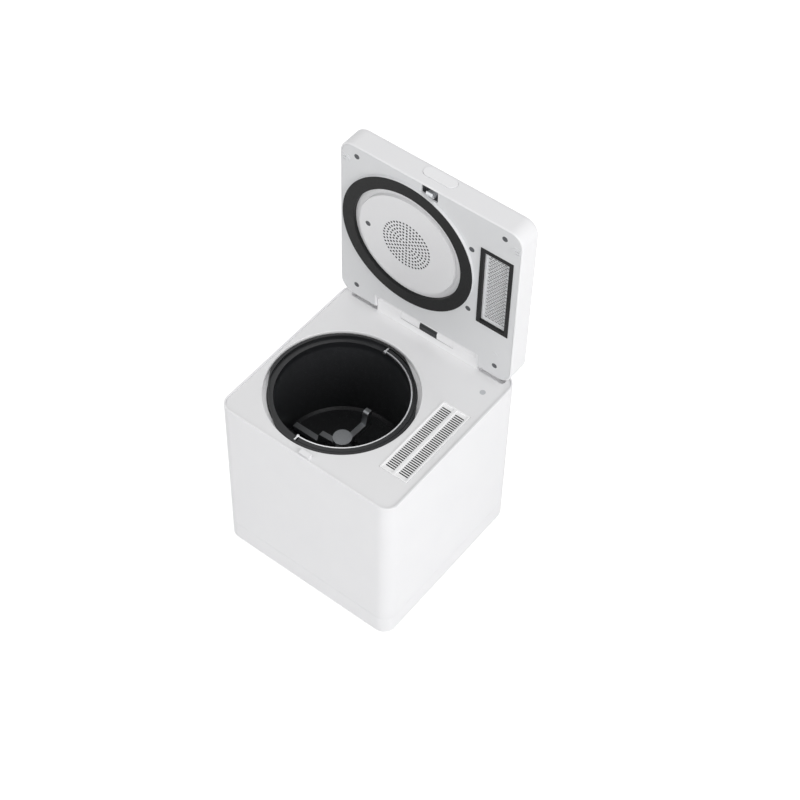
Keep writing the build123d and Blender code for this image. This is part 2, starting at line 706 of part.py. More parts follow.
# ---- lid sensor: flush cap in the deck with a flange beneath ----
with BuildPart() as lid_sensor:
    extrude(disc(DECK_Z - SENSOR_H, SENSOR_R, at=(SENSOR_X, SENSOR_Y)), amount=SENSOR_H)
    extrude(
        disc(DECK_UNDER - SENSOR_FLANGE_T, SENSOR_FLANGE_R, at=(SENSOR_X, SENSOR_Y)),
        amount=SENSOR_FLANGE_T,
    )
lid_sensor.part.label = "lid_sensor"
export_step(lid_sensor.part, "parts/lid_sensor.step")

# ---- latch striker: a small block at the deck's front with a catch pocket in its back ----
striker_y = -STRIKER_FRONT + STRIKER_D / 2
with BuildPart() as latch_striker:
    extrude(rect(DECK_Z, STRIKER_W, STRIKER_D, at=(0, striker_y)), amount=STRIKER_H)
    fillet(latch_striker.edges().filter_by(Axis.Z), STRIKER_EDGE)
    fillet(latch_striker.faces().sort_by(Axis.Z)[-1].edges(), STRIKER_EDGE / 2)
    extrude(
        rect(
            DECK_Z + CATCH_LOW,
            CATCH_W,
            CATCH_DEPTH,
            at=(0, STRIKER_D - STRIKER_FRONT - CATCH_DEPTH / 2),
        ),
        amount=CATCH_H,
        mode=Mode.SUBTRACT,
    )
latch_striker.part.label = "latch_striker"
export_step(latch_striker.part, "parts/latch_striker.step")

# ---- well liner: aluminium cup hung from the skirt, its hub standing on the gearbox cover ----
LINER_R = POT_R + POT_WALL + LINER_PLAY
HEATER_R = LINER_R - HEATER_IN
HEATER_ROD_AT = HEATER_R - HEATER_ROD_IN
COVER_Z = GEARBOX_Z + GEARBOX_H
COVER_TOP = COVER_Z + COVER_T
with BuildPart() as well_liner:
    extrude(disc(LINER_Z, LINER_R + LINER_T), amount=SKIRT_Z - LINER_Z)
    extrude(disc(SKIRT_Z - LINER_T, LINER_FLANGE_R), amount=LINER_T)
    extrude(disc(LINER_Z + LINER_T, LINER_R), amount=SKIRT_Z - LINER_Z, mode=Mode.SUBTRACT)
    hub_in = COVER_BOSS_R + FIT
    extrude(disc(COVER_TOP, hub_in + LINER_HUB_T), amount=LINER_Z - COVER_TOP)
    extrude(disc(COVER_TOP, hub_in), amount=LINER_Z - COVER_TOP, mode=Mode.SUBTRACT)
    extrude(disc(LINER_Z, SEAL_R), amount=LINER_T, mode=Mode.SUBTRACT)
well_liner.part.label = "well_liner"
export_step(well_liner.part, "parts/well_liner.step")

# ---- heater: flat ring under the liner's floor with its rod cast in, and a probe in its middle ----
with BuildPart() as heater_ring:
    extrude(disc(LINER_Z - HEATER_T, HEATER_R, HEATER_IN_R), amount=HEATER_T)
    with BuildSketch(Plane.XZ.offset(-BUCKET_Y)):
        with Locations((BUCKET_X + HEATER_ROD_AT, LINER_Z - HEATER_T + HEATER_ROD_RISE)):
            Circle(HEATER_ROD_R)
    revolve(axis=Axis((BUCKET_X, BUCKET_Y, 0), (0, 0, 1)))
    probe = (BUCKET_X, BUCKET_Y + PROBE_AT)
    extrude(disc(LINER_Z - HEATER_T, PROBE_R, at=probe), amount=HEATER_T)
heater_ring.part.label = "heater_ring"
export_step(heater_ring.part, "parts/heater_ring.step")

# ---- insulation jacket round the liner ----
with BuildPart() as insulation_jacket:
    jacket_in = LINER_R + LINER_T + FIT
    extrude(disc(JACKET_LOW, jacket_in + JACKET_T, jacket_in), amount=JACKET_TOP - JACKET_LOW)
insulation_jacket.part.label = "insulation_jacket"
export_step(insulation_jacket.part, "parts/insulation_jacket.step")

# ---- shaft seal in the liner's floor ----
with BuildPart() as shaft_seal:
    extrude(disc(LINER_Z, SEAL_R, OUT_SHAFT_R + RUN), amount=LINER_T)
    extrude(disc(LINER_Z + LINER_T, SEAL_FLANGE_R, OUT_SHAFT_R + RUN), amount=LINER_T / 2)
shaft_seal.part.label = "shaft_seal"
export_step(shaft_seal.part, "parts/shaft_seal.step")


def involute(angle):
    """The involute function of a pressure angle in radians."""
    return tan(angle) - angle


def gear_face(z, teeth, at, turn):
    """A spur gear's outline with one tooth centred on the direction turn, in degrees."""
    pitch_r = MODULE * teeth / 2
    root_r = pitch_r - DEDENDUM * MODULE
    tip_r = pitch_r + ADDENDUM * MODULE
    base_r = pitch_r * cos(radians(PRESSURE))
    half = pi / (2 * teeth) - BACKLASH / (2 * pitch_r) + involute(radians(PRESSURE))
    start_r = max(base_r, root_r)
    radii = [start_r + (tip_r - start_r) * step / 4 for step in range(5)]
    flank = [(r, half - involute(acos(base_r / r))) for r in radii]
    flank = [(root_r - MODULE / 4, flank[0][1])] + flank
    right = [(r * cos(a), -r * sin(a)) for r, a in flank]
    left = [(r * cos(a), r * sin(a)) for r, a in reversed(flank)]
    with BuildSketch(Plane.XY.offset(z)) as face:
        with Locations(at):
            Circle(root_r)
            with PolarLocations(0, teeth, start_angle=turn):
                Polygon(*right, *left, align=None)
    return face.sketch


# ---- gear train: output gear on the shaft, double idler, pinion on the motor's shaft ----
with BuildPart() as drive_shaft:
    extrude(gear_face(OUT_GEAR_Z, OUT_TEETH, BUCKET, 0), amount=OUT_GEAR_T)
    extrude(disc(GEARBOX_Z + RUN, OUT_SHAFT_R), amount=POT_BOTTOM_Z - GEARBOX_Z)
    with BuildSketch(Plane.XY.offset(POT_BOTTOM_Z)):
        with Locations(BUCKET):
            RegularPolygon(HEX_AF / 2, 6, major_radius=False)
    extrude(amount=HEX_TOP_Z - POT_BOTTOM_Z)
drive_shaft.part.label = "drive_shaft"
export_step(drive_shaft.part, "parts/drive_shaft.step")

with BuildPart() as idler_gear:
    small_turn = 180 + 180 / IDLER_SMALL
    extrude(
        gear_face(OUT_GEAR_Z, IDLER_SMALL, IDLER, small_turn), amount=IDLER_GEAR_Z - OUT_GEAR_Z
    )
    extrude(gear_face(IDLER_GEAR_Z, IDLER_BIG, IDLER, MOTOR_TURN), amount=IDLER_GEAR_T)
    bore = disc(OUT_GEAR_Z, IDLER_PIN_R + RUN, at=IDLER)
    extrude(bore, amount=IDLER_GEAR_Z + IDLER_GEAR_T - OUT_GEAR_Z, mode=Mode.SUBTRACT)
idler_gear.part.label = "idler_gear"
export_step(idler_gear.part, "parts/idler_gear.step")

with BuildPart() as motor_pinion:
    pinion_turn = MOTOR_TURN + 180 + 180 / PINION_TEETH
    extrude(gear_face(IDLER_GEAR_Z, PINION_TEETH, MOTOR, pinion_turn), amount=IDLER_GEAR_T)
    shaft_low = GEARBOX_Z - MOTOR_NECK_R
    extrude(disc(shaft_low, MOTOR_SHAFT_R, at=MOTOR), amount=IDLER_GEAR_Z - shaft_low)
motor_pinion.part.label = "motor_pinion"
export_step(motor_pinion.part, "parts/motor_pinion.step")

# ---- gearbox housing: open box on the tray's posts, with the idler's pin ----
with BuildPart() as gearbox_housing:
    extrude(rect(GEARBOX_Z, GEARBOX_W, GEARBOX_D, GEARBOX_R, GEARBOX), amount=GEARBOX_H)
    hollow_w = GEARBOX_W - 2 * GEARBOX_WALL
    hollow_d = GEARBOX_D - 2 * GEARBOX_WALL
    hollow = rect(
        GEARBOX_Z + GEARBOX_WALL, hollow_w, hollow_d, GEARBOX_R - GEARBOX_WALL, GEARBOX
    )
    extrude(hollow, amount=GEARBOX_H, mode=Mode.SUBTRACT)
    extrude(disc(GEARBOX_Z, OUT_SHAFT_R + 2 * BUSH_WALL), amount=LOWER_BUSH_H)
    extrude(disc(GEARBOX_Z, OUT_SHAFT_R + BUSH_WALL), amount=LOWER_BUSH_H, mode=Mode.SUBTRACT)
    extrude(disc(GEARBOX_Z, IDLER_PIN_R * 2, at=IDLER), amount=OUT_GEAR_Z - GEARBOX_Z - MOVE)
    extrude(disc(GEARBOX_Z, IDLER_PIN_R, at=IDLER), amount=GEARBOX_H)
    motor_hole = disc(GEARBOX_Z, MOTOR_NECK_R + FIT, at=MOTOR)
    extrude(motor_hole, amount=GEARBOX_WALL, mode=Mode.SUBTRACT)
gearbox_housing.part.label = "gearbox_housing"
export_step(gearbox_housing.part, "parts/gearbox_housing.step")

# ---- gearbox cover with the upper bearing's boss ----
with BuildPart() as gearbox_cover:
    extrude(rect(COVER_Z, GEARBOX_W, GEARBOX_D, GEARBOX_R, GEARBOX), amount=COVER_T)
    extrude(disc(COVER_Z, COVER_BOSS_R), amount=COVER_T + COVER_BOSS_H)
    extrude(
        disc(COVER_Z, OUT_SHAFT_R + BUSH_WALL), amount=COVER_T + COVER_BOSS_H, mode=Mode.SUBTRACT
    )
gearbox_cover.part.label = "gearbox_cover"
export_step(gearbox_cover.part, "parts/gearbox_cover.step")

# ---- bronze bushes below and above the output gear ----
with BuildPart() as gearbox_bushes:
    extrude(
        disc(GEARBOX_Z, OUT_SHAFT_R + BUSH_WALL, OUT_SHAFT_R + RUN), amount=LOWER_BUSH_H
    )
    extrude(disc(COVER_Z, OUT_SHAFT_R + BUSH_WALL, OUT_SHAFT_R + RUN), amount=UPPER_BUSH_H)
gearbox_bushes.part.label = "gearbox_bushes"
export_step(gearbox_bushes.part, "parts/gearbox_bushes.step")

# ---- motor hung under the gearbox ----
with BuildPart() as motor:
    extrude(disc(GEARBOX_Z - MOTOR_L, MOTOR_R, at=MOTOR), amount=MOTOR_L)
    chamfer(motor.faces().sort_by(Axis.Z)[0].edges(), GEARBOX_WALL)
    extrude(disc(GEARBOX_Z, MOTOR_NECK_R, at=MOTOR), amount=GEARBOX_WALL)
    shaft_hole = disc(GEARBOX_Z - MOTOR_NECK_R - MOVE, MOTOR_SHAFT_R + RUN, at=MOTOR)
    extrude(shaft_hole, amount=MOTOR_NECK_R + MOVE + GEARBOX_WALL, mode=Mode.SUBTRACT)
motor.part.label = "motor"
export_step(motor.part, "parts/motor.step")

# ---- bucket: turned aluminium pot with a raised middle in its floor ----
COLLAR_TOP = RIM_Z - COLLAR_DROP
COLLAR_LOW = LEDGE_Z + FIT
POT_TOP = COLLAR_LOW - COLLAR_SKIRT_H
FLOOR_Z = POT_BOTTOM_Z + POT_FLOOR_T
TURRET_Z = POT_BOTTOM_Z + TURRET_H
with BuildPart() as bucket:
    with BuildSketch(Plane.XZ.offset(-BUCKET_Y)):
        with BuildLine():
            outer = POT_R + POT_WALL
            shoulder = TURRET_R + POT_FLOOR_T
            profile = [
                (BUSH_R, TURRET_Z),
                (TURRET_R, TURRET_Z),
                (TURRET_R, POT_BOTTOM_Z),
                (outer - POT_CORNER, POT_BOTTOM_Z),
                (outer, POT_BOTTOM_Z + POT_CORNER),
                (outer, POT_TOP - POT_FLANGE_T),
                (POT_FLANGE_R, POT_TOP - POT_FLANGE_T),
                (POT_FLANGE_R, POT_TOP),
                (POT_R, POT_TOP),
                (POT_R, FLOOR_Z + POT_CORNER - POT_WALL / 2),
                (POT_R - POT_CORNER + POT_WALL / 2, FLOOR_Z),
                (shoulder + TURRET_TAPER, FLOOR_Z),
                (shoulder, TURRET_Z + TURRET_TOP_T - TURRET_TAPER),
                (shoulder - TURRET_TAPER, TURRET_Z + TURRET_TOP_T),
                (BUSH_R, TURRET_Z + TURRET_TOP_T),
            ]
            Polyline(*[(BUCKET_X + r, z) for r, z in profile], close=True)
        make_face()
    revolve(axis=Axis((BUCKET_X, BUCKET_Y, 0), (0, 0, 1)))
bucket.part.label = "bucket"
export_step(bucket.part, "parts/bucket.step")

# ---- collar on the pot's rim: lip on the deck's ledge, channel for the bail, finger cut-outs ----
CHANNEL_Z = COLLAR_TOP - CHANNEL_DEPTH
BAIL_Z = CHANNEL_Z + BAIL_FLOOR_GAP
PIVOT_Z = COLLAR_TOP - BAIL_EYE_R - RUN
with BuildPart() as bucket_collar:
    extrude(disc(POT_TOP, COLLAR_SKIRT_R), amount=COLLAR_LOW - POT_TOP)
    with BuildSketch(Plane.XY.offset(COLLAR_LOW)):
        with Locations(BUCKET):
            Circle(COLLAR_R)
            Ellipse(CUT_A, CUT_B, rotation=CUT_TURN, mode=Mode.INTERSECT)
    extrude(amount=COLLAR_TOP - COLLAR_LOW)
    fillet(bucket_collar.faces().sort_by(Axis.Z)[-1].outer_wire().edges(), RIM_EDGE_R)
    with BuildSketch(Plane.XY.offset(CHANNEL_Z)):
        with Locations(BUCKET):
            Circle(CHANNEL_R)
            Ellipse(CUT_A - CUT_LIP, CUT_B, rotation=CUT_TURN, mode=Mode.INTERSECT)
    extrude(amount=CHANNEL_DEPTH, mode=Mode.SUBTRACT)
    extrude(disc(POT_TOP, POT_R), amount=COLLAR_TOP - POT_TOP, mode=Mode.SUBTRACT)
    # pockets for the bail's eyes, and the holes that hold its pins
    eye_d = CHANNEL_R - POT_R
    with BuildSketch(Plane.XY.offset(PIVOT_Z - EYE_POCKET)):
        with Locations(BUCKET):
            with GridLocations(1, 2 * POT_R + eye_d, 1, 2):
                Rectangle(2 * EYE_POCKET, eye_d)
    extrude(amount=CHANNEL_DEPTH, mode=Mode.SUBTRACT)
    with BuildSketch(Plane.XZ.offset(-BUCKET_Y)):
        with Locations((BUCKET_X, PIVOT_Z)):
            Circle(BAIL_PIN_R)
    extrude(amount=CHANNEL_R + BAIL_PIN_IN, both=True, mode=Mode.SUBTRACT)
bucket_collar.part.label = "bucket_collar"
export_step(bucket_collar.part, "parts/bucket_collar.step")

# ---- pivot pins of the bail, held by the collar ----
with BuildPart() as bail_pins:
    for sign in (1, -1):
        pin_plane = Plane.XZ.offset(-BUCKET_Y + sign * (BAIL_STRIP_R - MOVE))
        head = disc(0, BAIL_EYE_R - RUN, at=(BUCKET_X, PIVOT_Z), plane=pin_plane)
        extrude(head, amount=-sign * BAIL_HEAD_T)
        shank = disc(0, BAIL_PIN_R, at=(BUCKET_X, PIVOT_Z), plane=pin_plane)
        extrude(shank, amount=sign * (CHANNEL_R + BAIL_PIN_IN - BAIL_STRIP_R + MOVE))
bail_pins.part.label = "bail_pins"
export_step(bail_pins.part, "parts/bail_pins.step")

# ---- bail: a steel strip bent to a half ring with an eye at each end ----
with BuildPart() as bail_strip:
    with BuildSketch(Plane.XY.offset(BAIL_Z)):
        with Locations(BUCKET):
            Circle(BAIL_STRIP_R + BAIL_STRIP_T)
            Circle(BAIL_STRIP_R, mode=Mode.SUBTRACT)
            Rectangle(
                BAIL_GRIP_R, 3 * BAIL_GRIP_R, align=(Align.MAX, Align.CENTER), mode=Mode.SUBTRACT
            )
    extrude(amount=BAIL_H)
    eye_span = BAIL_STRIP_R + BAIL_STRIP_T
    extrude(
        disc(-BUCKET_Y, BAIL_EYE_R, at=(BUCKET_X, PIVOT_Z), plane=Plane.XZ),
        amount=eye_span,
        both=True,
    )
    extrude(
        disc(-BUCKET_Y, BAIL_EYE_R, at=(BUCKET_X, PIVOT_Z), plane=Plane.XZ),
        amount=BAIL_STRIP_R,
        both=True,
        mode=Mode.SUBTRACT,
    )
    extrude(
        disc(-BUCKET_Y, BAIL_PIN_R + 2 * RUN, at=(BUCKET_X, PIVOT_Z), plane=Plane.XZ),
        amount=eye_span,
        both=True,
        mode=Mode.SUBTRACT,
    )
bail_strip.part.label = "bail_strip"
export_step(bail_strip.part, "parts/bail_strip.step")

# ---- grip moulded along the outside of the strip ----
with BuildPart() as bail_grip:
    with BuildSketch(Plane.XY.offset(BAIL_Z)):
        with Locations(BUCKET):
            Circle(BAIL_GRIP_R)
            Ellipse(CUT_A - CUT_LIP - 2 * MOVE, CUT_B, rotation=CUT_TURN, mode=Mode.INTERSECT)
            Circle(BAIL_STRIP_R + BAIL_STRIP_T, mode=Mode.SUBTRACT)
        with Locations((BUCKET_X + BAIL_GRIP_START, BUCKET_Y)):
            Rectangle(
                2 * BAIL_GRIP_R, 3 * BAIL_GRIP_R, align=(Align.MAX, Align.CENTER), mode=Mode.SUBTRACT
            )
    extrude(amount=BAIL_H)
    grip_top = bail_grip.faces().sort_by(Axis.Z)[-1]
    chamfer(grip_top.edges().filter_by(GeomType.CIRCLE).sort_by(SortBy.RADIUS)[-1], BAIL_EDGE)
bail_grip.part.label = "bail_grip"
export_step(bail_grip.part, "parts/bail_grip.step")

# ---- bush in the bucket's floor ----
TURRET_TOP = TURRET_Z + TURRET_TOP_T
with BuildPart() as agitator_bush:
    extrude(
        disc(TURRET_Z - BUSH_FLANGE_T / 2, BUSH_R - RUN, STIRRER_SHAFT_R + RUN),
        amount=TURRET_TOP_T + BUSH_FLANGE_T / 2,
    )
    extrude(disc(TURRET_TOP, BUSH_FLANGE_R, STIRRER_SHAFT_R + RUN), amount=BUSH_FLANGE_T)
agitator_bush.part.label = "agitator_bush"
export_step(agitator_bush.part, "parts/agitator_bush.step")

# ---- socket that the output shaft's hexagon drives ----
with BuildPart() as agitator_coupling:
    extrude(disc(COUPLING_Z, COUPLING_R), amount=COUPLING_H)
    chamfer(agitator_coupling.faces().sort_by(Axis.Z)[0].edges(), 1)
    with BuildSketch(Plane.XY.offset(COUPLING_Z)):
        with Locations(BUCKET):
            RegularPolygon(HEX_AF / 2 + HEX_PLAY, 6, major_radius=False)
    extrude(amount=SOCKET_DEPTH, mode=Mode.SUBTRACT)
agitator_coupling.part.label = "agitator_coupling"
export_step(agitator_coupling.part, "parts/agitator_coupling.step")

# ---- agitator: domed hub, two long floor blades and two short breakers ----
HUB_Z = TURRET_TOP + BUSH_FLANGE_T + MOVE
BLADE_Z = FLOOR_Z + BLADE_LOW
step_r = TURRET_R + POT_FLOOR_T + TURRET_TAPER + 2 * MOVE
blade = [
    (0, HUB_Z),
    (step_r, HUB_Z),
    (step_r + BLADE_H / 2, BLADE_Z),
    (BLADE_R, BLADE_Z),
    (BLADE_R, BLADE_Z + BLADE_H),
    (step_r + 1.5 * BLADE_H, BLADE_Z + BLADE_H),
    (step_r + BLADE_H, HUB_Z + BLADE_H),
    (0, HUB_Z + 1.4 * BLADE_H),
]
breaker = [
    (0, HUB_Z + BLADE_H / 2),
    (BREAKER_R, HUB_Z + BLADE_H / 2),
    (BREAKER_R, HUB_Z + BREAKER_H),
    (BREAKER_R - BLADE_H, HUB_Z + BREAKER_H),
    (BREAKER_R - 1.5 * BLADE_H, HUB_Z + 1.4 * BLADE_H),
    (0, HUB_Z + 1.8 * BLADE_H),
]
with BuildPart() as agitator:
    extrude(disc(COUPLING_Z + COUPLING_H, STIRRER_SHAFT_R), amount=HUB_Z - COUPLING_Z - COUPLING_H)
    for outline, turns in ((blade, (0, 180)), (breaker, (90, 270))):
        for turn in turns:
            arm = Plane(
                origin=(BUCKET_X, BUCKET_Y, 0),
                x_dir=(cos(radians(turn)), sin(radians(turn)), 0),
                z_dir=(sin(radians(turn)), -cos(radians(turn)), 0),
            )
            with BuildSketch(arm):
                with BuildLine():
                    Polyline(*outline, close=True)
                make_face()
            extrude(amount=BLADE_T / 2, both=True)
    extrude(disc(HUB_Z, HUB_R), amount=HUB_H)
    fillet(agitator.faces().filter_by(Axis.Z).sort_by(Axis.Z)[-1].edges().sort_by(
        lambda edge: edge.length)[-1], HUB_DOME)
agitator.part.label = "agitator"
export_step(agitator.part, "parts/agitator.step")

# ---- grille cover: bright frame, slotted plate in two rows and a centre rib ----
GRILLE_TOP = DECK_Z + GRILLE_PROUD
GRILLE_LOW = GRILLE_TOP - GRILLE_H
PLATE_TOP = GRILLE_TOP - GRILLE_PLATE_DROP
PLATE_LOW = PLATE_TOP - GRILLE_PLATE_T
GRILLE_IN_W = GRILLE_W - 2 * GRILLE_WALL
GRILLE_IN_D = GRILLE_D - 2 * GRILLE_WALL
with BuildPart() as grille_cover:
    extrude(rect(GRILLE_LOW, GRILLE_W, GRILLE_D, GRILLE_R, FILTER), amount=GRILLE_H)
    fillet(grille_cover.faces().sort_by(Axis.Z)[-1].edges(), GRILLE_WALL / 4)
    extrude(
        rect(PLATE_TOP, GRILLE_IN_W, GRILLE_IN_D, at=FILTER),
        amount=GRILLE_PLATE_DROP,
        mode=Mode.SUBTRACT,
    )
    extrude(
        rect(GRILLE_LOW, GRILLE_IN_W, GRILLE_IN_D, at=FILTER),
        amount=PLATE_LOW - GRILLE_LOW,
        mode=Mode.SUBTRACT,
    )
    with BuildSketch(Plane.XY.offset(PLATE_LOW)):
        with Locations((FILTER_X, FILTER_Y + SLOT_SHIFT)):
            with GridLocations(2 * SLOT_ROW, SLOT_PITCH, 2, SLOT_COUNT):
                Rectangle(SLOT_L, SLOT_W)
    extrude(amount=GRILLE_PLATE_T, mode=Mode.SUBTRACT)
    rib_h = GRILLE_TOP - FIT - PLATE_LOW
    extrude(rect(PLATE_LOW, GRILLE_RIB, GRILLE_IN_D, at=FILTER), amount=rib_h)
grille_cover.part.label = "grille_cover"
export_step(grille_cover.part, "parts/grille_cover.step")

# ---- prefilter foam under the grille ----
FOAM_LOW = PLATE_LOW - FIT - FOAM_T
with BuildPart() as filter_foam:
    extrude(rect(FOAM_LOW, GRILLE_IN_W - 2 * FIT, GRILLE_IN_D - 2 * FIT, at=FILTER), amount=FOAM_T)
filter_foam.part.label = "filter_foam"
export_step(filter_foam.part, "parts/filter_foam.step")

# ---- filter cartridge: open box with a slotted floor, and its charcoal bed ----
HOUSING_W = GRILLE_W - 2 * HOUSING_IN
HOUSING_D = GRILLE_D - 2 * HOUSING_IN
CARTRIDGE_W = HOUSING_W - 2 * CARTRIDGE_PLAY
CARTRIDGE_D = HOUSING_D - 2 * CARTRIDGE_PLAY
BED_W = CARTRIDGE_W - 2 * CARTRIDGE_T
BED_D = CARTRIDGE_D - 2 * CARTRIDGE_T
BED_Z = CARTRIDGE_Z + CARTRIDGE_T
with BuildPart() as filter_cartridge:
    extrude(
        rect(CARTRIDGE_Z, CARTRIDGE_W, CARTRIDGE_D, GRILLE_R, FILTER), amount=FOAM_LOW - CARTRIDGE_Z
    )
    extrude(rect(BED_Z, BED_W, BED_D, at=FILTER), amount=FOAM_LOW - BED_Z, mode=Mode.SUBTRACT)
    with BuildSketch(Plane.XY.offset(CARTRIDGE_Z)):
        with Locations(FILTER):
            with GridLocations(CARTRIDGE_SLOT_PITCH, 1, CARTRIDGE_SLOTS, 1):
                Rectangle(CARTRIDGE_SLOT_W, BED_D - 2 * CARTRIDGE_LEDGE)
    extrude(amount=CARTRIDGE_T, mode=Mode.SUBTRACT)
filter_cartridge.part.label = "filter_cartridge"
export_step(filter_cartridge.part, "parts/filter_cartridge.step")

with BuildPart() as charcoal_bed:
    extrude(rect(BED_Z, BED_W, BED_D, at=FILTER), amount=FOAM_LOW - BED_TOP - BED_Z)
charcoal_bed.part.label = "charcoal_bed"
export_step(charcoal_bed.part, "parts/charcoal_bed.step")

# ---- filter housing under the deck: shoulder for the cover, ledge for the cartridge ----
SHOULDER_Z = GRILLE_LOW - FIT
COLLAR_W = GRILLE_W + 2 * MOVE
COLLAR_D = GRILLE_D + 2 * MOVE
with BuildPart() as filter_housing:
    extrude(
        rect(HOUSING_Z, HOUSING_W + 2 * HOUSING_T, HOUSING_D + 2 * HOUSING_T, GRILLE_R, FILTER),
        amount=SHOULDER_Z - HOUSING_Z,
    )
    shoulder_low = SHOULDER_Z - HOUSING_T
    extrude(
        rect(shoulder_low, COLLAR_W + 2 * HOUSING_T, COLLAR_D + 2 * HOUSING_T, GRILLE_R, FILTER),
        amount=DECK_UNDER - shoulder_low,
    )
    extrude(
        rect(SHOULDER_Z, COLLAR_W, COLLAR_D, GRILLE_R, FILTER),
        amount=DECK_UNDER - SHOULDER_Z,
        mode=Mode.SUBTRACT,
    )
    floor_z = HOUSING_Z + HOUSING_T
    extrude(
        rect(floor_z, HOUSING_W, HOUSING_D, HOUSING_T, FILTER),
        amount=SHOULDER_Z - floor_z,
        mode=Mode.SUBTRACT,
    )
    ledge_z = CARTRIDGE_Z - CARTRIDGE_T
    extrude(rect(ledge_z, HOUSING_W, HOUSING_D, at=FILTER), amount=CARTRIDGE_T)
    open_w = HOUSING_W - 2 * CARTRIDGE_LEDGE
    open_d = HOUSING_D - 2 * CARTRIDGE_LEDGE
    extrude(rect(ledge_z, open_w, open_d, at=FILTER), amount=CARTRIDGE_T, mode=Mode.SUBTRACT)
    extrude(disc(HOUSING_Z, FAN_INLET_R, at=FAN), amount=HOUSING_T, mode=Mode.SUBTRACT)
filter_housing.part.label = "filter_housing"
export_step(filter_housing.part, "parts/filter_housing.step")

# ---- blower housing: round case with its outlet towards the back ----
SCROLL_Z = HOUSING_Z - SCROLL_H
with BuildPart() as blower_housing:
    with BuildSketch(Plane.XY.offset(SCROLL_Z)):
        with Locations(FAN):
            Circle(SCROLL_R)
        with Locations((DUCT_X, FAN_Y)):
            Rectangle(DUCT_W, DUCT_START, align=(Align.CENTER, Align.MIN))
    extrude(amount=SCROLL_H)
    with BuildSketch(Plane.XY.offset(SCROLL_Z + SCROLL_T)):
        with Locations(FAN):
            Circle(SCROLL_R - SCROLL_T)
        with Locations((DUCT_X, FAN_Y)):
            Rectangle(DUCT_W - 2 * SCROLL_T, DUCT_START, align=(Align.CENTER, Align.MIN))
    extrude(amount=SCROLL_H - 2 * SCROLL_T, mode=Mode.SUBTRACT)
    extrude(disc(HOUSING_Z - SCROLL_T, FAN_INLET_R, at=FAN), amount=SCROLL_T, mode=Mode.SUBTRACT)
    extrude(disc(SCROLL_Z, FAN_SHAFT_R + MOVE, at=FAN), amount=SCROLL_T, mode=Mode.SUBTRACT)
blower_housing.part.label = "blower_housing"
export_step(blower_housing.part, "parts/blower_housing.step")

# ---- fan motor under the blower ----
with BuildPart() as fan_motor:
    extrude(disc(SCROLL_Z - FAN_MOTOR_H, FAN_MOTOR_R, at=FAN), amount=FAN_MOTOR_H)
    chamfer(fan_motor.faces().sort_by(Axis.Z)[0].edges(), SCROLL_T)
    extrude(
        disc(SCROLL_Z - FAN_MOTOR_H / 2, FAN_SHAFT_R + RUN, at=FAN),
        amount=FAN_MOTOR_H / 2,
        mode=Mode.SUBTRACT,
    )
fan_motor.part.label = "fan_motor"
export_step(fan_motor.part, "parts/fan_motor.step")

# ---- impeller: back plate, hub, shaft, curved row of blades and a top ring ----
with BuildPart() as fan_impeller:
    fan_z = HOUSING_Z - SCROLL_H / 2 - FAN_H / 2
    extrude(disc(fan_z, FAN_R, at=FAN), amount=FAN_BLADE_T)
    extrude(disc(fan_z, FAN_HUB_R, at=FAN), amount=FAN_H / 2)
    shaft_z = SCROLL_Z - FAN_MOTOR_H / 2 + MOVE
    extrude(disc(shaft_z, FAN_SHAFT_R, at=FAN), amount=fan_z - shaft_z)
    with BuildSketch(Plane.XY.offset(fan_z)):
        with Locations(FAN):
            with PolarLocations(FAN_R - FAN_BLADE_L / 2, FAN_BLADES):
                Rectangle(FAN_BLADE_L, FAN_BLADE_T, rotation=35)
    extrude(amount=FAN_H)
    ring_z = fan_z + FAN_H - FAN_BLADE_T
    extrude(disc(ring_z, FAN_R, FAN_R - FAN_BLADE_L / 3, FAN), amount=FAN_BLADE_T)
fan_impeller.part.label = "fan_impeller"
export_step(fan_impeller.part, "parts/fan_impeller.step")

# ---- exhaust duct from the blower to the back wall ----
with BuildPart() as exhaust_duct:
    duct_l = REAR_IN - FAN_Y - DUCT_START
    extrude(rear_rect(REAR_IN, DUCT_X, DUCT_Z, DUCT_W, SCROLL_H, 0), amount=duct_l)
    bore_w = DUCT_W - 2 * SCROLL_T
    bore_h = SCROLL_H - 2 * SCROLL_T
    extrude(
        rear_rect(REAR_IN, DUCT_X, DUCT_Z, bore_w, bore_h, 0), amount=duct_l, mode=Mode.SUBTRACT
    )
exhaust_duct.part.label = "exhaust_duct"
export_step(exhaust_duct.part, "parts/exhaust_duct.step")

# ---- exhaust grille in the back wall ----
with BuildPart() as exhaust_grille:
    grille_back = BODY_D / 2 + EXHAUST_T
    extrude(
        rear_rect(
            grille_back,
            DUCT_X,
            DUCT_Z,
            EXHAUST_W + 2 * EXHAUST_FLANGE,
            EXHAUST_H + 2 * EXHAUST_FLANGE,
            EXHAUST_R,
        ),
        amount=EXHAUST_T,
    )
    fillet(exhaust_grille.faces().sort_by(Axis.Y)[-1].edges(), EXHAUST_T / 2)
    extrude(rear_rect(BODY_D / 2, DUCT_X, DUCT_Z, EXHAUST_W, EXHAUST_H, EXHAUST_R), amount=WALL)
    with BuildSketch(Plane.XZ.offset(-grille_back)):
        with Locations((DUCT_X, DUCT_Z)):
            with GridLocations(1, SCROLL_H / (EXHAUST_SLOTS + 1), 1, EXHAUST_SLOTS):
                SlotOverall(DUCT_W - 2 * SCROLL_T, EXHAUST_SLOT_W)
    extrude(amount=EXHAUST_T + WALL, mode=Mode.SUBTRACT)
exhaust_grille.part.label = "exhaust_grille"
export_step(exhaust_grille.part, "parts/exhaust_grille.step")

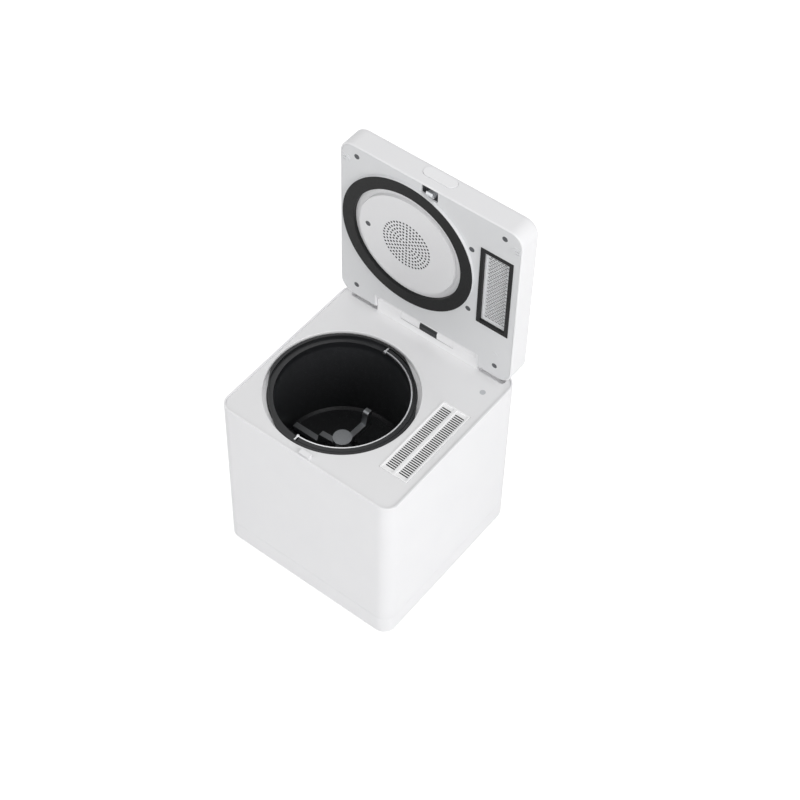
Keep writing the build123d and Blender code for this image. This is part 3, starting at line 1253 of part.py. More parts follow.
# ---- power board on the back wall, with the parts soldered to it ----
BOARD_FACE = BOARD_BACK - BOARD_T
CONNECTOR_Z = BOARD_Z - BOARD_H / 2 + CONNECTOR_D
with BuildPart() as power_board:
    extrude(rear_rect(BOARD_BACK, BOARD_X, BOARD_Z, BOARD_W, BOARD_H, 1), amount=BOARD_T)
    extrude(
        rear_rect(BOARD_FACE, BOARD_X - BOARD_W / 5, BOARD_Z, TRANSFORMER_W, TRANSFORMER_W, 1),
        amount=TRANSFORMER_H,
    )
    with BuildSketch(Plane.XZ.offset(-BOARD_FACE)):
        with Locations((BOARD_X + BOARD_W / 5, BOARD_Z + BOARD_H / 5)):
            with GridLocations(3 * CAPACITOR_R, 1, 2, 1):
                Circle(CAPACITOR_R)
    extrude(amount=CAPACITOR_H)
    with BuildSketch(Plane.XZ.offset(-BOARD_FACE)):
        with Locations((BOARD_X + BOARD_W / 5, BOARD_Z - BOARD_H / 6)):
            with GridLocations(1, 1.5 * RELAY_D, 1, 2):
                Rectangle(RELAY_W, RELAY_D)
    extrude(amount=RELAY_H)
    extrude(
        rear_rect(BOARD_FACE, BOARD_X - BOARD_W / 4, CONNECTOR_Z, CONNECTOR_W, CONNECTOR_D, 0),
        amount=CONNECTOR_H,
    )
power_board.part.label = "power_board"
export_step(power_board.part, "parts/power_board.step")

# ---- mains inlet in the back wall, and its pins ----
INLET_BACK = BODY_D / 2 + INLET_FLANGE_T
PIN_END = BODY_D / 2 - INLET_DEPTH - PIN_TAIL


def pin_face(y):
    """The three flat pins' outlines, facing the back at the given y."""
    with BuildSketch(Plane.XZ.offset(-y)) as face:
        with Locations((INLET_X - PIN_PITCH, INLET_Z - PIN_DROP)):
            Rectangle(PIN_T, PIN_W)
        with Locations((INLET_X, INLET_Z + PIN_DROP)):
            Rectangle(PIN_T, PIN_W)
        with Locations((INLET_X + PIN_PITCH, INLET_Z - PIN_DROP)):
            Rectangle(PIN_T, PIN_W)
    return face.sketch


with BuildPart() as mains_inlet:
    flange_w = INLET_W + 2 * INLET_FLANGE
    flange_h = INLET_H + 2 * INLET_FLANGE
    extrude(
        rear_rect(INLET_BACK, INLET_X, INLET_Z, flange_w, flange_h, INLET_R), amount=INLET_FLANGE_T
    )
    extrude(
        rear_rect(BODY_D / 2, INLET_X, INLET_Z, INLET_W, INLET_H, INLET_R), amount=INLET_DEPTH
    )
    socket_w = INLET_W - 2 * INLET_RIM
    socket_h = INLET_H - 2 * INLET_RIM
    extrude(
        rear_rect(INLET_BACK, INLET_X, INLET_Z, socket_w, socket_h, INLET_RIM),
        amount=INLET_SOCKET,
        mode=Mode.SUBTRACT,
    )
    extrude(pin_face(INLET_BACK), amount=INLET_BACK - PIN_END, mode=Mode.SUBTRACT)
mains_inlet.part.label = "mains_inlet"
export_step(mains_inlet.part, "parts/mains_inlet.step")

with BuildPart() as inlet_pins:
    extrude(pin_face(INLET_BACK - PIN_SHY), amount=INLET_BACK - PIN_SHY - PIN_END)
inlet_pins.part.label = "inlet_pins"
export_step(inlet_pins.part, "parts/inlet_pins.step")

# ---- hinge housing on the deck: flat front and back, round top; the middle is the knuckle's ----
HINGE_BACK = BODY_D / 2 - BACK_IN
KNUCKLE_LEFT = HINGE_X - KNUCKLE_W / 2
FOOT_BACK = REAR_IN - MOVE
PIVOT = (HINGE_Y, HINGE_Z)
BED_R = KNUCKLE_R + KNUCKLE_ROOM


def between_flats():
    """Cuts a sketch in Y and Z to the part between the hinge's flat front and its back."""
    with Locations((FLAT_Y, HINGE_Z)):
        Rectangle(
            HINGE_BACK - FLAT_Y, 4 * BARREL_R, align=(Align.MIN, Align.CENTER), mode=Mode.INTERSECT
        )


with BuildPart() as hinge_housing:
    with BuildSketch(Plane.YZ.offset(HOUSING_LEFT)):
        with Locations(PIVOT):
            Circle(BARREL_R)
        between_flats()
        Polygon(
            (FLAT_Y, DECK_Z),
            (FOOT_BACK, DECK_Z),
            (FOOT_BACK, RIM_Z),
            (HINGE_BACK, RIM_Z),
            (HINGE_BACK, HINGE_Z),
            (FLAT_Y, HINGE_Z),
            align=None,
        )
    extrude(amount=HOUSING_RIGHT - HOUSING_LEFT)
    extrude(barrel(KNUCKLE_LEFT, BED_R), amount=KNUCKLE_W, mode=Mode.SUBTRACT)
    with BuildSketch(Plane.YZ.offset(KNUCKLE_LEFT)):
        with Locations(PIVOT):
            Rectangle(4 * BARREL_R, 4 * BARREL_R, align=(Align.CENTER, Align.MIN))
    extrude(amount=KNUCKLE_W, mode=Mode.SUBTRACT)
    extrude(
        barrel(HINGE_X - HINGE_PIN_FAR, HINGE_PIN_R), amount=2 * HINGE_PIN_FAR, mode=Mode.SUBTRACT
    )
    extrude(barrel(HINGE_X + HINGE_PIN_FAR, DAMPER_R), amount=HINGE_W, mode=Mode.SUBTRACT)
hinge_housing.part.label = "hinge_housing"
export_step(hinge_housing.part, "parts/hinge_housing.step")

# ---- steel hinge pins; the right one carries a rotary damper in the end of the housing ----
with BuildPart() as hinge_pins:
    pin_l = HINGE_PIN_FAR - HINGE_PIN_NEAR
    extrude(barrel(HINGE_X - HINGE_PIN_FAR, HINGE_PIN_R), amount=pin_l)
    extrude(barrel(HINGE_X + HINGE_PIN_NEAR, HINGE_PIN_R), amount=pin_l)
    extrude(barrel(HINGE_X + HINGE_PIN_FAR, DAMPER_R), amount=DAMPER_L)
hinge_pins.part.label = "hinge_pins"
export_step(hinge_pins.part, "parts/hinge_pins.step")

# ---- cable drum: dark cover between the knuckle's halves, standing in the housing's bed ----
with BuildPart() as cable_drum:
    with BuildSketch(Plane.YZ.offset(CABLE_X - CABLE_W / 2 + FIT)):
        with Locations(PIVOT):
            Circle(BED_R)
            Rectangle(BARREL_R, 2 * BARREL_R, align=(Align.CENTER, Align.MAX), mode=Mode.INTERSECT)
            Circle(KNUCKLE_R)
        between_flats()
    extrude(amount=CABLE_W - 2 * FIT)
cable_drum.part.label = "cable_drum"
export_step(cable_drum.part, "parts/cable_drum.step")

# ---- lid knuckle: two half barrels on the pins, webbed to the lid's notch ----
with BuildPart() as lid_knuckle:
    gap_left = CABLE_X - CABLE_W / 2
    gap_right = CABLE_X + CABLE_W / 2
    spans = ((KNUCKLE_LEFT + FIT, gap_left), (gap_right, KNUCKLE_LEFT + KNUCKLE_W - FIT))
    for x0, x1 in spans:
        with BuildSketch(Plane.YZ.offset(x0)):
            with Locations(PIVOT):
                Circle(KNUCKLE_R)
            with Locations((FLAT_Y, HINGE_Z)):
                Rectangle(
                    4 * BARREL_R, 4 * BARREL_R, align=(Align.MIN, Align.CENTER), mode=Mode.INTERSECT
                )
            # this flat lies flush with the casing's back when the lid is shut
            with Locations((HINGE_Y, HINGE_Z + HINGE_Y - HINGE_BACK)):
                Rectangle(
                    4 * BARREL_R, 4 * BARREL_R, align=(Align.CENTER, Align.MIN), mode=Mode.INTERSECT
                )
            web_low = HINGE_Z - WEB_LOW
            Polygon(
                (HINGE_Y, web_low),
                (LID_Y + NOTCH_H, web_low),
                (LID_Y + NOTCH_H, LID_Z - NOTCH_Y),
                (HINGE_Y, LID_Z - NOTCH_Y),
                align=None,
            )
        extrude(amount=x1 - x0)
        extrude(barrel(x0, HINGE_PIN_R + RUN), amount=x1 - x0, mode=Mode.SUBTRACT)
lid_knuckle.part.label = "lid_knuckle"
export_step(lid_knuckle.part, "parts/lid_knuckle.step")

# ---- lid shell: rounded box open below, notched for the hinge, with screw columns ----
CORNERS = [(x, y) for x in (-PLUG_X, PLUG_X) for y in (PLUG_FRONT, PLUG_BACK)]
SIDES = [(PLUG_SIDE_X, PLUG_SIDE_FRONT), (PLUG_SIDE_X, PLUG_SIDE_BACK)]
SKIN_H = LID_T - LID_WALL
FACE = Plane(origin=(0, LID_Y, LID_Z), x_dir=(1, 0, 0), z_dir=(0, 0, 1))


def rounds(h, radius, places):
    """Round faces at several places of the lid, at height h above its underside."""
    with BuildSketch(LID.offset(h)) as face:
        with Locations(*places):
            Circle(radius)
    return face.sketch


def button_face(front, grow):
    """The button's outline grown by a gap, on a plane that far in front of the middle."""
    with BuildSketch(FACE.offset(front)) as face:
        with Locations((0, BUTTON_MID)):
            SlotOverall(BUTTON_W + 2 * grow, BUTTON_H + 2 * grow)
    return face.sketch


with BuildPart() as lid_shell:
    extrude(rect(0, BODY_W, BODY_D, LID_R, plane=LID), amount=LID_T)
    fillet(lid_shell.faces().sort_by(Axis.Y)[-1].edges(), LID_TOP_EDGE)
    fillet(lid_shell.faces().sort_by(Axis.Y)[0].edges(), LID_LOW_EDGE)
    with BuildSketch(LID):
        RectangleRounded(BODY_W - 2 * LID_WALL, BODY_D - 2 * LID_WALL, LID_R - LID_WALL)
        with Locations((HINGE_X, NOTCH_Y - LID_WALL)):
            Rectangle(
                HINGE_W + 2 * LID_WALL,
                BODY_D,
                align=(Align.CENTER, Align.MIN),
                mode=Mode.SUBTRACT,
            )
    extrude(amount=SKIN_H, mode=Mode.SUBTRACT)
    with BuildSketch(LID):
        with Locations((HINGE_X, NOTCH_Y)):
            Rectangle(HINGE_W, BODY_D, align=(Align.CENTER, Align.MIN))
    extrude(amount=NOTCH_H, mode=Mode.SUBTRACT)
    extrude(rounds(CUP_H, LID_BOSS_R, CORNERS), amount=SKIN_H - CUP_H)
    extrude(rounds(CUP_H, LID_SCREW_R, CORNERS), amount=LID_SCREW_L, mode=Mode.SUBTRACT)
    extrude(button_face(BODY_D / 2 + 1, MOVE), amount=-LID_WALL - 1, mode=Mode.SUBTRACT)
    extrude(
        rect(LID_T - TOUCH_T, TOUCH_W, TOUCH_D, TOUCH_T * 3, (0, TOUCH_Y), LID),
        amount=TOUCH_T,
        mode=Mode.SUBTRACT,
    )
lid_shell.part.label = "lid_shell"
export_step(lid_shell.part, "parts/lid_shell.step")

# ---- inner panel of the lid, with seats for gasket, window, plugs and snap tabs ----
OPENING_W = WINDOW_W - 2 * WINDOW_BORDER + 2 * WINDOW_SLEEVE
OPENING_D = WINDOW_D - 2 * WINDOW_BORDER + 2 * WINDOW_SLEEVE
with BuildPart() as inner_panel:
    with BuildSketch(LID):
        edge = LID_WALL + FIT
        RectangleRounded(BODY_W - 2 * edge, BODY_D - 2 * edge, LID_R - edge)
        with Locations((HINGE_X, NOTCH_Y - edge)):
            Rectangle(
                HINGE_W + 2 * edge, BODY_D, align=(Align.CENTER, Align.MIN), mode=Mode.SUBTRACT
            )
        with Locations((0, -RECESS_BACK)):
            Rectangle(RECESS_W, BODY_D, align=(Align.CENTER, Align.MAX), mode=Mode.SUBTRACT)
        with Locations(BUCKET):
            Circle(GASKET_R + RECESS_RING)
            Circle(PANEL_HOLE_R, mode=Mode.SUBTRACT)
        with Locations(FILTER):
            Rectangle(OPENING_W, OPENING_D, mode=Mode.SUBTRACT)
    extrude(amount=PANEL_T)
    # raised ring under the gasket, and the seat for the gasket's lip and the disc
    ring_h = GASKET_PROUD - GASKET_CAP
    extrude(disc(-ring_h, GASKET_R, SEAT_R, plane=LID), amount=ring_h)
    extrude(disc(0, SEAT_R, plane=LID), amount=GASKET_SEAT, mode=Mode.SUBTRACT)
    extrude(rounds(0, CUP_R, CORNERS + SIDES), amount=CUP_H)
    extrude(rounds(0, PLUG_R, CORNERS + SIDES), amount=PLUG_T + LID_SCREW_HEAD_T, mode=Mode.SUBTRACT)
    extrude(rounds(0, LID_SCREW_R + FIT, CORNERS + SIDES), amount=CUP_H, mode=Mode.SUBTRACT)
    extrude(rounds(-MAGNET_BOSS_H, MAGNET_BOSS_R, [(MAGNET_X, MAGNET_Y)]), amount=MAGNET_BOSS_H)
    with BuildSketch(LID.offset(-TAB_PROUD)):
        for sign in (1, -1):
            with Locations((sign * TAB_X, TAB_Y)):
                Circle(TAB_R)
            with Locations((sign * (TAB_X + TAB_EDGE) / 2, TAB_Y)):
                Rectangle(TAB_EDGE - TAB_X, 2 * TAB_R)
            with Locations((sign * (TAB_EDGE - TAB_SLOT_L / 2 - TAB_SLOT), TAB_Y)):
                with GridLocations(1, 2 * TAB_SLOT_AT, 1, 2):
                    Rectangle(TAB_SLOT_L, TAB_SLOT, mode=Mode.SUBTRACT)
    extrude(amount=TAB_PROUD)
inner_panel.part.label = "inner_panel"
export_step(inner_panel.part, "parts/inner_panel.step")

# ---- vent disc: raised dish with rings of holes, its wall steep, a flange round its foot ----
with BuildPart() as vent_disc:
    foot_r = DISC_FLAT_R + DISC_DRAFT
    flange_r = GASKET_IN_R - FIT
    flange_top = GASKET_SEAT - DISC_FLANGE_T
    flat = DISC_PROUD - DISC_T
    with BuildSketch(Plane.YZ.offset(BUCKET_X)):
        with BuildLine():
            profile = [
                (0, -DISC_PROUD),
                (DISC_FLAT_R, -DISC_PROUD),
                (foot_r, flange_top),
                (flange_r, flange_top),
                (flange_r, GASKET_SEAT),
                (foot_r - DISC_T, GASKET_SEAT),
                (DISC_FLAT_R - DISC_T, -flat),
                (0, -flat),
            ]
            Polyline(*[(LID_Y + h, LID_Z - BUCKET_Y + r) for r, h in profile], close=True)
        make_face()
    revolve(axis=Axis((BUCKET_X, LID_Y, LID_Z - BUCKET_Y), (0, 1, 0)))
    with BuildSketch(LID.offset(-DISC_PROUD)):
        with Locations(BUCKET):
            Circle(HOLE_R)
            for ring in range(1, HOLE_RINGS + 1):
                with PolarLocations(ring * HOLE_PITCH, 6 * ring, start_angle=HOLE_TURN):
                    Circle(HOLE_R)
        with Locations((BUCKET_X - DISC_PLUG, BUCKET_Y)):
            Circle(PLUG_R)
    extrude(amount=DISC_T, mode=Mode.SUBTRACT)
vent_disc.part.label = "vent_disc"
export_step(vent_disc.part, "parts/vent_disc.step")

# ---- gasket that closes the bucket: a cap over the panel's ring and a lip inside it ----
with BuildPart() as round_gasket:
    extrude(disc(-GASKET_PROUD, GASKET_R, GASKET_IN_R, plane=LID), amount=GASKET_CAP)
    lip = disc(-GASKET_PROUD, SEAT_R, GASKET_IN_R, plane=LID)
    extrude(lip, amount=GASKET_PROUD + GASKET_SEAT)
    fillet(round_gasket.faces().sort_by(Axis.Y)[0].edges(), GASKET_EDGE)
round_gasket.part.label = "round_gasket"
export_step(round_gasket.part, "parts/round_gasket.step")

# ---- filter window: rubber surround, pale frame and mesh ----
INNER_W = WINDOW_W - 2 * WINDOW_BORDER
INNER_D = WINDOW_D - 2 * WINDOW_BORDER
with BuildPart() as window_gasket:
    extrude(rect(-WINDOW_PROUD, WINDOW_W, WINDOW_D, at=FILTER, plane=LID), amount=WINDOW_PROUD)
    fillet(window_gasket.faces().sort_by(Axis.Y)[0].edges(), WINDOW_PROUD / 2)
    extrude(rect(0, OPENING_W, OPENING_D, at=FILTER, plane=LID), amount=WINDOW_DEPTH)
    extrude(
        rect(-WINDOW_PROUD, INNER_W, INNER_D, at=FILTER, plane=LID),
        amount=WINDOW_PROUD + WINDOW_DEPTH,
        mode=Mode.SUBTRACT,
    )
window_gasket.part.label = "window_gasket"
export_step(window_gasket.part, "parts/window_gasket.step")

MESH_IN_W = INNER_W - 2 * MESH_FRAME
MESH_IN_D = INNER_D - 2 * MESH_FRAME
with BuildPart() as window_mesh:
    extrude(rect(WINDOW_DEPTH, OPENING_W, OPENING_D, at=FILTER, plane=LID), amount=MESH_FRAME_H)
    extrude(
        rect(WINDOW_DEPTH, MESH_IN_W, MESH_IN_D, at=FILTER, plane=LID),
        amount=MESH_FRAME_H,
        mode=Mode.SUBTRACT,
    )
    mesh_h = WINDOW_DEPTH + MESH_FRAME_H / 2
    with BuildSketch(LID.offset(mesh_h)):
        with Locations(FILTER):
            Rectangle(MESH_IN_W, MESH_IN_D)
            with GridLocations(MESH_PITCH_X, 2 * MESH_PITCH_Y, MESH_COLS, MESH_ROWS // 2 + 1):
                SlotOverall(
                    MESH_PITCH_X - MESH_TIE, MESH_PITCH_Y - MESH_BAR, mode=Mode.SUBTRACT
                )
            with GridLocations(MESH_PITCH_X, 2 * MESH_PITCH_Y, MESH_COLS - 1, MESH_ROWS // 2):
                SlotOverall(
                    MESH_PITCH_X - MESH_TIE, MESH_PITCH_Y - MESH_BAR, mode=Mode.SUBTRACT
                )
    extrude(amount=MESH_T)
window_mesh.part.label = "window_mesh"
export_step(window_mesh.part, "parts/window_mesh.step")

# ---- seven dark plugs and the screws behind six of them ----
with BuildPart() as screw_plugs:
    extrude(rounds(0, PLUG_R, CORNERS + SIDES), amount=PLUG_T)
    extrude(rounds(-DISC_PROUD, PLUG_R, [(BUCKET_X - DISC_PLUG, BUCKET_Y)]), amount=PLUG_T)
screw_plugs.part.label = "screw_plugs"
export_step(screw_plugs.part, "parts/screw_plugs.step")

with BuildPart() as lid_screws:
    head_h = PLUG_T
    extrude(rounds(head_h, LID_SCREW_HEAD_R, CORNERS + SIDES), amount=LID_SCREW_HEAD_T)
    extrude(
        rounds(head_h, LID_SCREW_R, CORNERS + SIDES),
        amount=CUP_H - head_h + LID_SCREW_L - LID_SCREW_HEAD_T,
    )
lid_screws.part.label = "lid_screws"
export_step(lid_screws.part, "parts/lid_screws.step")

# ---- magnet over the deck's sensor ----
with BuildPart() as lid_magnet:
    extrude(rounds(PANEL_T, MAGNET_R, [(MAGNET_X, MAGNET_Y)]), amount=MAGNET_H)
lid_magnet.part.label = "lid_magnet"
export_step(lid_magnet.part, "parts/lid_magnet.step")


def air_face(h, radius, grow):
    """The air channel's outline: a round over the disc run across to the window."""
    half_w = OPENING_W / 2 + AIR_MARGIN + grow
    with BuildSketch(LID.offset(h)) as face:
        with Locations(BUCKET):
            Circle(radius)
        with Locations((BUCKET_X, FILTER_Y)):
            Rectangle(
                FILTER_X - BUCKET_X + half_w,
                OPENING_D + 2 * (AIR_MARGIN + grow),
                align=(Align.MIN, Align.CENTER),
            )
    return face.sketch


# ---- air channel: tray over disc and window that carries the air across ----
with BuildPart() as air_channel:
    extrude(air_face(PANEL_T, AIR_R + CHANNEL_T, CHANNEL_T), amount=CHANNEL_H)
    extrude(air_face(PANEL_T, AIR_R, 0), amount=CHANNEL_H - CHANNEL_T, mode=Mode.SUBTRACT)
    roof = PANEL_T + CHANNEL_H
    extrude(rounds(CUP_H, LID_BOSS_R, SIDES), amount=roof - CUP_H)
    extrude(rounds(CUP_H, LID_SCREW_R, SIDES), amount=LID_SCREW_L, mode=Mode.SUBTRACT)
    plug_back = DISC_T - DISC_PROUD
    extrude(
        rounds(plug_back, LID_BOSS_R, [(BUCKET_X - DISC_PLUG, BUCKET_Y)]), amount=roof - plug_back
    )
air_channel.part.label = "air_channel"
export_step(air_channel.part, "parts/air_channel.step")

# ---- touch panel set in the lid's top ----
with BuildPart() as touch_panel:
    extrude(
        rect(LID_T - TOUCH_T, TOUCH_W - FIT, TOUCH_D - FIT, TOUCH_T * 3, (0, TOUCH_Y), LID),
        amount=TOUCH_T,
    )
touch_panel.part.label = "touch_panel"
export_step(touch_panel.part, "parts/touch_panel.step")

# ---- latch housing: three walls and a floor in the recess, cut away behind the button ----
HOOK_FRONT = -HOOK_Y
FLANGE_BACK = BODY_D / 2 - LID_WALL - FIT - BUTTON_FLANGE


def lid_round(x, y, h, radius, length):
    """A round bar along X in the lid."""
    return extrude(
        disc(x, radius, at=(LID_Y + h, LID_Z - y), plane=Plane.YZ), amount=length, mode=Mode.PRIVATE
    )


HOOK_PIN_Y = HOOK_FRONT + HOOK_T / 2
HOOK_LEFT = HOOK_X - HOOK_W / 2
with BuildPart() as latch_housing:
    wall_front = BODY_D / 2 - LID_WALL - FIT
    with BuildSketch(LID.offset(PANEL_T)):
        with Locations((0, RECESS_T - RECESS_BACK)):
            Rectangle(
                RECESS_W + 2 * RECESS_T,
                wall_front - RECESS_BACK + RECESS_T,
                align=(Align.CENTER, Align.MAX),
            )
        with Locations((0, -RECESS_BACK)):
            Rectangle(RECESS_W, BODY_D, align=(Align.CENTER, Align.MAX), mode=Mode.SUBTRACT)
    extrude(amount=RECESS_H - PANEL_T)
    button_low = BUTTON_MID - BUTTON_H / 2 - BUTTON_FLANGE - 2 * FIT
    with BuildSketch(LID.offset(button_low)):
        with Locations((0, 2 * FIT + BUTTON_TRAVEL - FLANGE_BACK)):
            Rectangle(2 * RECESS_W, BODY_D, align=(Align.CENTER, Align.MAX))
    extrude(amount=RECESS_H - button_low, mode=Mode.SUBTRACT)
    add(lid_round(-RECESS_W, HOOK_PIN_Y, HOOK_PIVOT_H, HOOK_PIN_R, 2 * RECESS_W), mode=Mode.SUBTRACT)
    # floor either side of the hook, open where its arm passes and swings
    with BuildSketch(LID.offset(RECESS_FLOOR)):
        with Locations((0, -RECESS_BACK)):
            Rectangle(
                RECESS_W + RECESS_T, wall_front - RECESS_BACK, align=(Align.CENTER, Align.MAX)
            )
        with Locations((HOOK_LEFT + HOOK_W / 2, HOOK_FRONT + HOOK_T + HOOK_ROOM)):
            Rectangle(
                HOOK_W + 2 * MOVE, BODY_D, align=(Align.CENTER, Align.MAX), mode=Mode.SUBTRACT
            )
    extrude(amount=RECESS_T)
latch_housing.part.label = "latch_housing"
export_step(latch_housing.part, "parts/latch_housing.step")

with BuildPart() as hook_pin:
    pin_half = RECESS_W / 2 + RECESS_T
    add(lid_round(-pin_half, HOOK_PIN_Y, HOOK_PIVOT_H, HOOK_PIN_R, 2 * pin_half))
hook_pin.part.label = "hook_pin"
export_step(hook_pin.part, "parts/hook_pin.step")

# ---- latch hook: arm from the pin down to a nose that enters the striker ----
with BuildPart() as latch_hook:
    arm = [
        (HOOK_FRONT, -HOOK_LOW),
        (HOOK_FRONT + HOOK_T, -HOOK_LOW),
        (HOOK_FRONT + HOOK_T, HOOK_PIVOT_H),
        (HOOK_FRONT, HOOK_PIVOT_H),
    ]
    extrude(lid_side(HOOK_LEFT, arm), amount=HOOK_W)
    nose_w = CATCH_W - 2 * STRIKER_EDGE
    nose = [
        (HOOK_FRONT, -HOOK_LOW),
        (HOOK_FRONT - HOOK_NOSE, HOOK_NOSE_TOP - STRIKER_EDGE),
        (HOOK_FRONT - HOOK_NOSE, HOOK_NOSE_TOP),
        (HOOK_FRONT, HOOK_NOSE_TOP),
    ]
    extrude(lid_side(-nose_w / 2, nose), amount=nose_w)
    add(lid_round(HOOK_LEFT, HOOK_PIN_Y, HOOK_PIVOT_H, HOOK_PIVOT_R, HOOK_W))
    bore = lid_round(HOOK_LEFT, HOOK_PIN_Y, HOOK_PIVOT_H, HOOK_PIN_R + RUN, HOOK_W)
    add(bore, mode=Mode.SUBTRACT)
latch_hook.part.label = "latch_hook"
export_step(latch_hook.part, "parts/latch_hook.step")

# ---- torsion spring round the hook's pin, as a plain sleeve ----
with BuildPart() as hook_spring:
    spring_x = HOOK_LEFT + HOOK_W
    add(lid_round(spring_x, HOOK_PIN_Y, HOOK_PIVOT_H, SPRING_R, SPRING_L))
    spring_in = HOOK_PIN_R + SPRING_PLAY
    add(lid_round(spring_x, HOOK_PIN_Y, HOOK_PIVOT_H, spring_in, SPRING_L), mode=Mode.SUBTRACT)
hook_spring.part.label = "hook_spring"
export_step(hook_spring.part, "parts/hook_spring.step")

# ---- release button: rounded cap through the lid's front, inner flange, stem to the hook ----
with BuildPart() as release_button:
    cap_front = BODY_D / 2 + BUTTON_PROUD
    flange_front = FLANGE_BACK + BUTTON_FLANGE
    extrude(button_face(flange_front, 0), amount=cap_front - flange_front)
    fillet(release_button.faces().sort_by(Axis.Z)[-1].edges(), BUTTON_PROUD / 2)
    extrude(button_face(FLANGE_BACK, BUTTON_FLANGE), amount=BUTTON_FLANGE)
    stem_end = HOOK_Y + FIT
    with BuildSketch(FACE.offset(stem_end)):
        with Locations((0, STEM_H)):
            Rectangle(STEM_W, STEM_T)
    extrude(amount=FLANGE_BACK - stem_end)
release_button.part.label = "release_button"
export_step(release_button.part, "parts/release_button.step")
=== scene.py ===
from math import pi, sqrt

import bmesh
import bpy
from mathutils import Matrix, Vector, noise


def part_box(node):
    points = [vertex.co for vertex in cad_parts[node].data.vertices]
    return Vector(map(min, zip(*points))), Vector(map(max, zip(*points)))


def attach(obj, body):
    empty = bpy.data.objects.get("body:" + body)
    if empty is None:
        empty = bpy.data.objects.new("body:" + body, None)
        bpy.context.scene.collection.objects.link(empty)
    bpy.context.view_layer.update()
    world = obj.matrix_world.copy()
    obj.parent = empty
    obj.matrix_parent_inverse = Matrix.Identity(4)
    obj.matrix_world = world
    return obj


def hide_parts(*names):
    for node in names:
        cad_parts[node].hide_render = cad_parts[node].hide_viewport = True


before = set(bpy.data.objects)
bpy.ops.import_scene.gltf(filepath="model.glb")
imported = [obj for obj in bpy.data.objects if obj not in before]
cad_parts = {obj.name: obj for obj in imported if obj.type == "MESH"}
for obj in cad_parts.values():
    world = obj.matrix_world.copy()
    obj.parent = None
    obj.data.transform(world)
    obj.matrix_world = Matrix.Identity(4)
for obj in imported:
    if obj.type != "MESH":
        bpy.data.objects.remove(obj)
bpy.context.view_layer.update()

# ---- base tray: the moulded floor of the machine, up to the parting line low on the walls.
# White ABS from the same resin as the casing. The mould was spark-eroded, so the skin is a fine
# satin that softens every reflection.


def linear(colour):
    """An sRGB hex colour as linear red, green, blue and alpha."""
    parts = [int(colour[i : i + 2], 16) / 255 for i in (1, 3, 5)]
    return [c / 12.92 if c <= 0.04045 else ((c + 0.055) / 1.055) ** 2.4 for c in parts] + [1.0]


def add_node(tree, kind, sockets=None, **settings):
    """Adds a node with its settings; each socket gets a value or is linked to an output."""
    added = tree.nodes.new(kind)
    for name, value in settings.items():
        setattr(added, name, value)
    for name, value in (sockets or {}).items():
        if isinstance(value, bpy.types.NodeSocket):
            tree.links.new(value, added.inputs[name])
        else:
            added.inputs[name].default_value = value
    return added


def new_material(name):
    """An empty material with its node tree."""
    material = bpy.data.materials.new(name)
    material.use_nodes = True
    material.node_tree.nodes.clear()
    return material, material.node_tree


def moulded(name, colour, flow, roughness, grain, depth, ior=1.5):
    """A moulded plastic: flow marks in the colour, a satin that varies, and an eroded grain.

    flow is the colour of the faint flow marks, about 70 mm long; the satin varies over 6 mm.
    grain is the grain's size in metres and depth its height. A real grain is near 0.1 mm, too
    fine to show, so it is drawn coarser.
    """
    material, tree = new_material(name)
    place = add_node(tree, "ShaderNodeTexCoord").outputs["Object"]
    marks = add_node(
        tree, "ShaderNodeTexNoise", {"Vector": place, "Scale": 14.0, "Detail": 3.0, "Roughness": 0.6}
    )
    tint = add_node(
        tree,
        "ShaderNodeMix",
        {"Factor": marks.outputs["Fac"], "A": linear(colour), "B": linear(flow)},
        data_type="RGBA",
    )
    satin = add_node(
        tree, "ShaderNodeTexNoise", {"Vector": place, "Scale": 160.0, "Detail": 2.0}
    )
    gloss = add_node(
        tree,
        "ShaderNodeMapRange",
        {
            "Value": satin.outputs["Fac"],
            "From Min": 0.3,
            "From Max": 0.7,
            "To Min": roughness - 0.02,
            "To Max": roughness + 0.02,
        },
    )
    eroded = add_node(
        tree, "ShaderNodeTexNoise", {"Vector": place, "Scale": 1 / grain, "Detail": 2.0}
    )
    bump = add_node(
        tree, "ShaderNodeBump", {"Height": eroded.outputs["Fac"], "Distance": depth, "Strength": 1.0}
    )
    surface = add_node(
        tree,
        "ShaderNodeBsdfPrincipled",
        {
            "Base Color": tint.outputs["Result"],
            "Roughness": gloss.outputs["Result"],
            "Normal": bump.outputs["Normal"],
            "IOR": ior,
        },
    )
    add_node(tree, "ShaderNodeOutputMaterial", {"Surface": surface.outputs["BSDF"]})
    return material


def dress(material, *names):
    """Gives CAD nodes their finish through the material slots that they came with."""
    for name in names:
        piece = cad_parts[name]
        if not piece.material_slots:
            piece.data.materials.append(None)
        for slot in piece.material_slots:
            slot.material = material


casing_white = moulded("abs_spark_eroded_white", "#f4f4f5", "#f0f0f2", 0.36, 0.0009, 0.00001)
dress(casing_white, "base_tray")

# ---- rubber feet: four pads moulded in black silicone, pressed into round seats under the tray.
# Silicone is dull with a soft sheen and picks up a little pale dust on its skin.


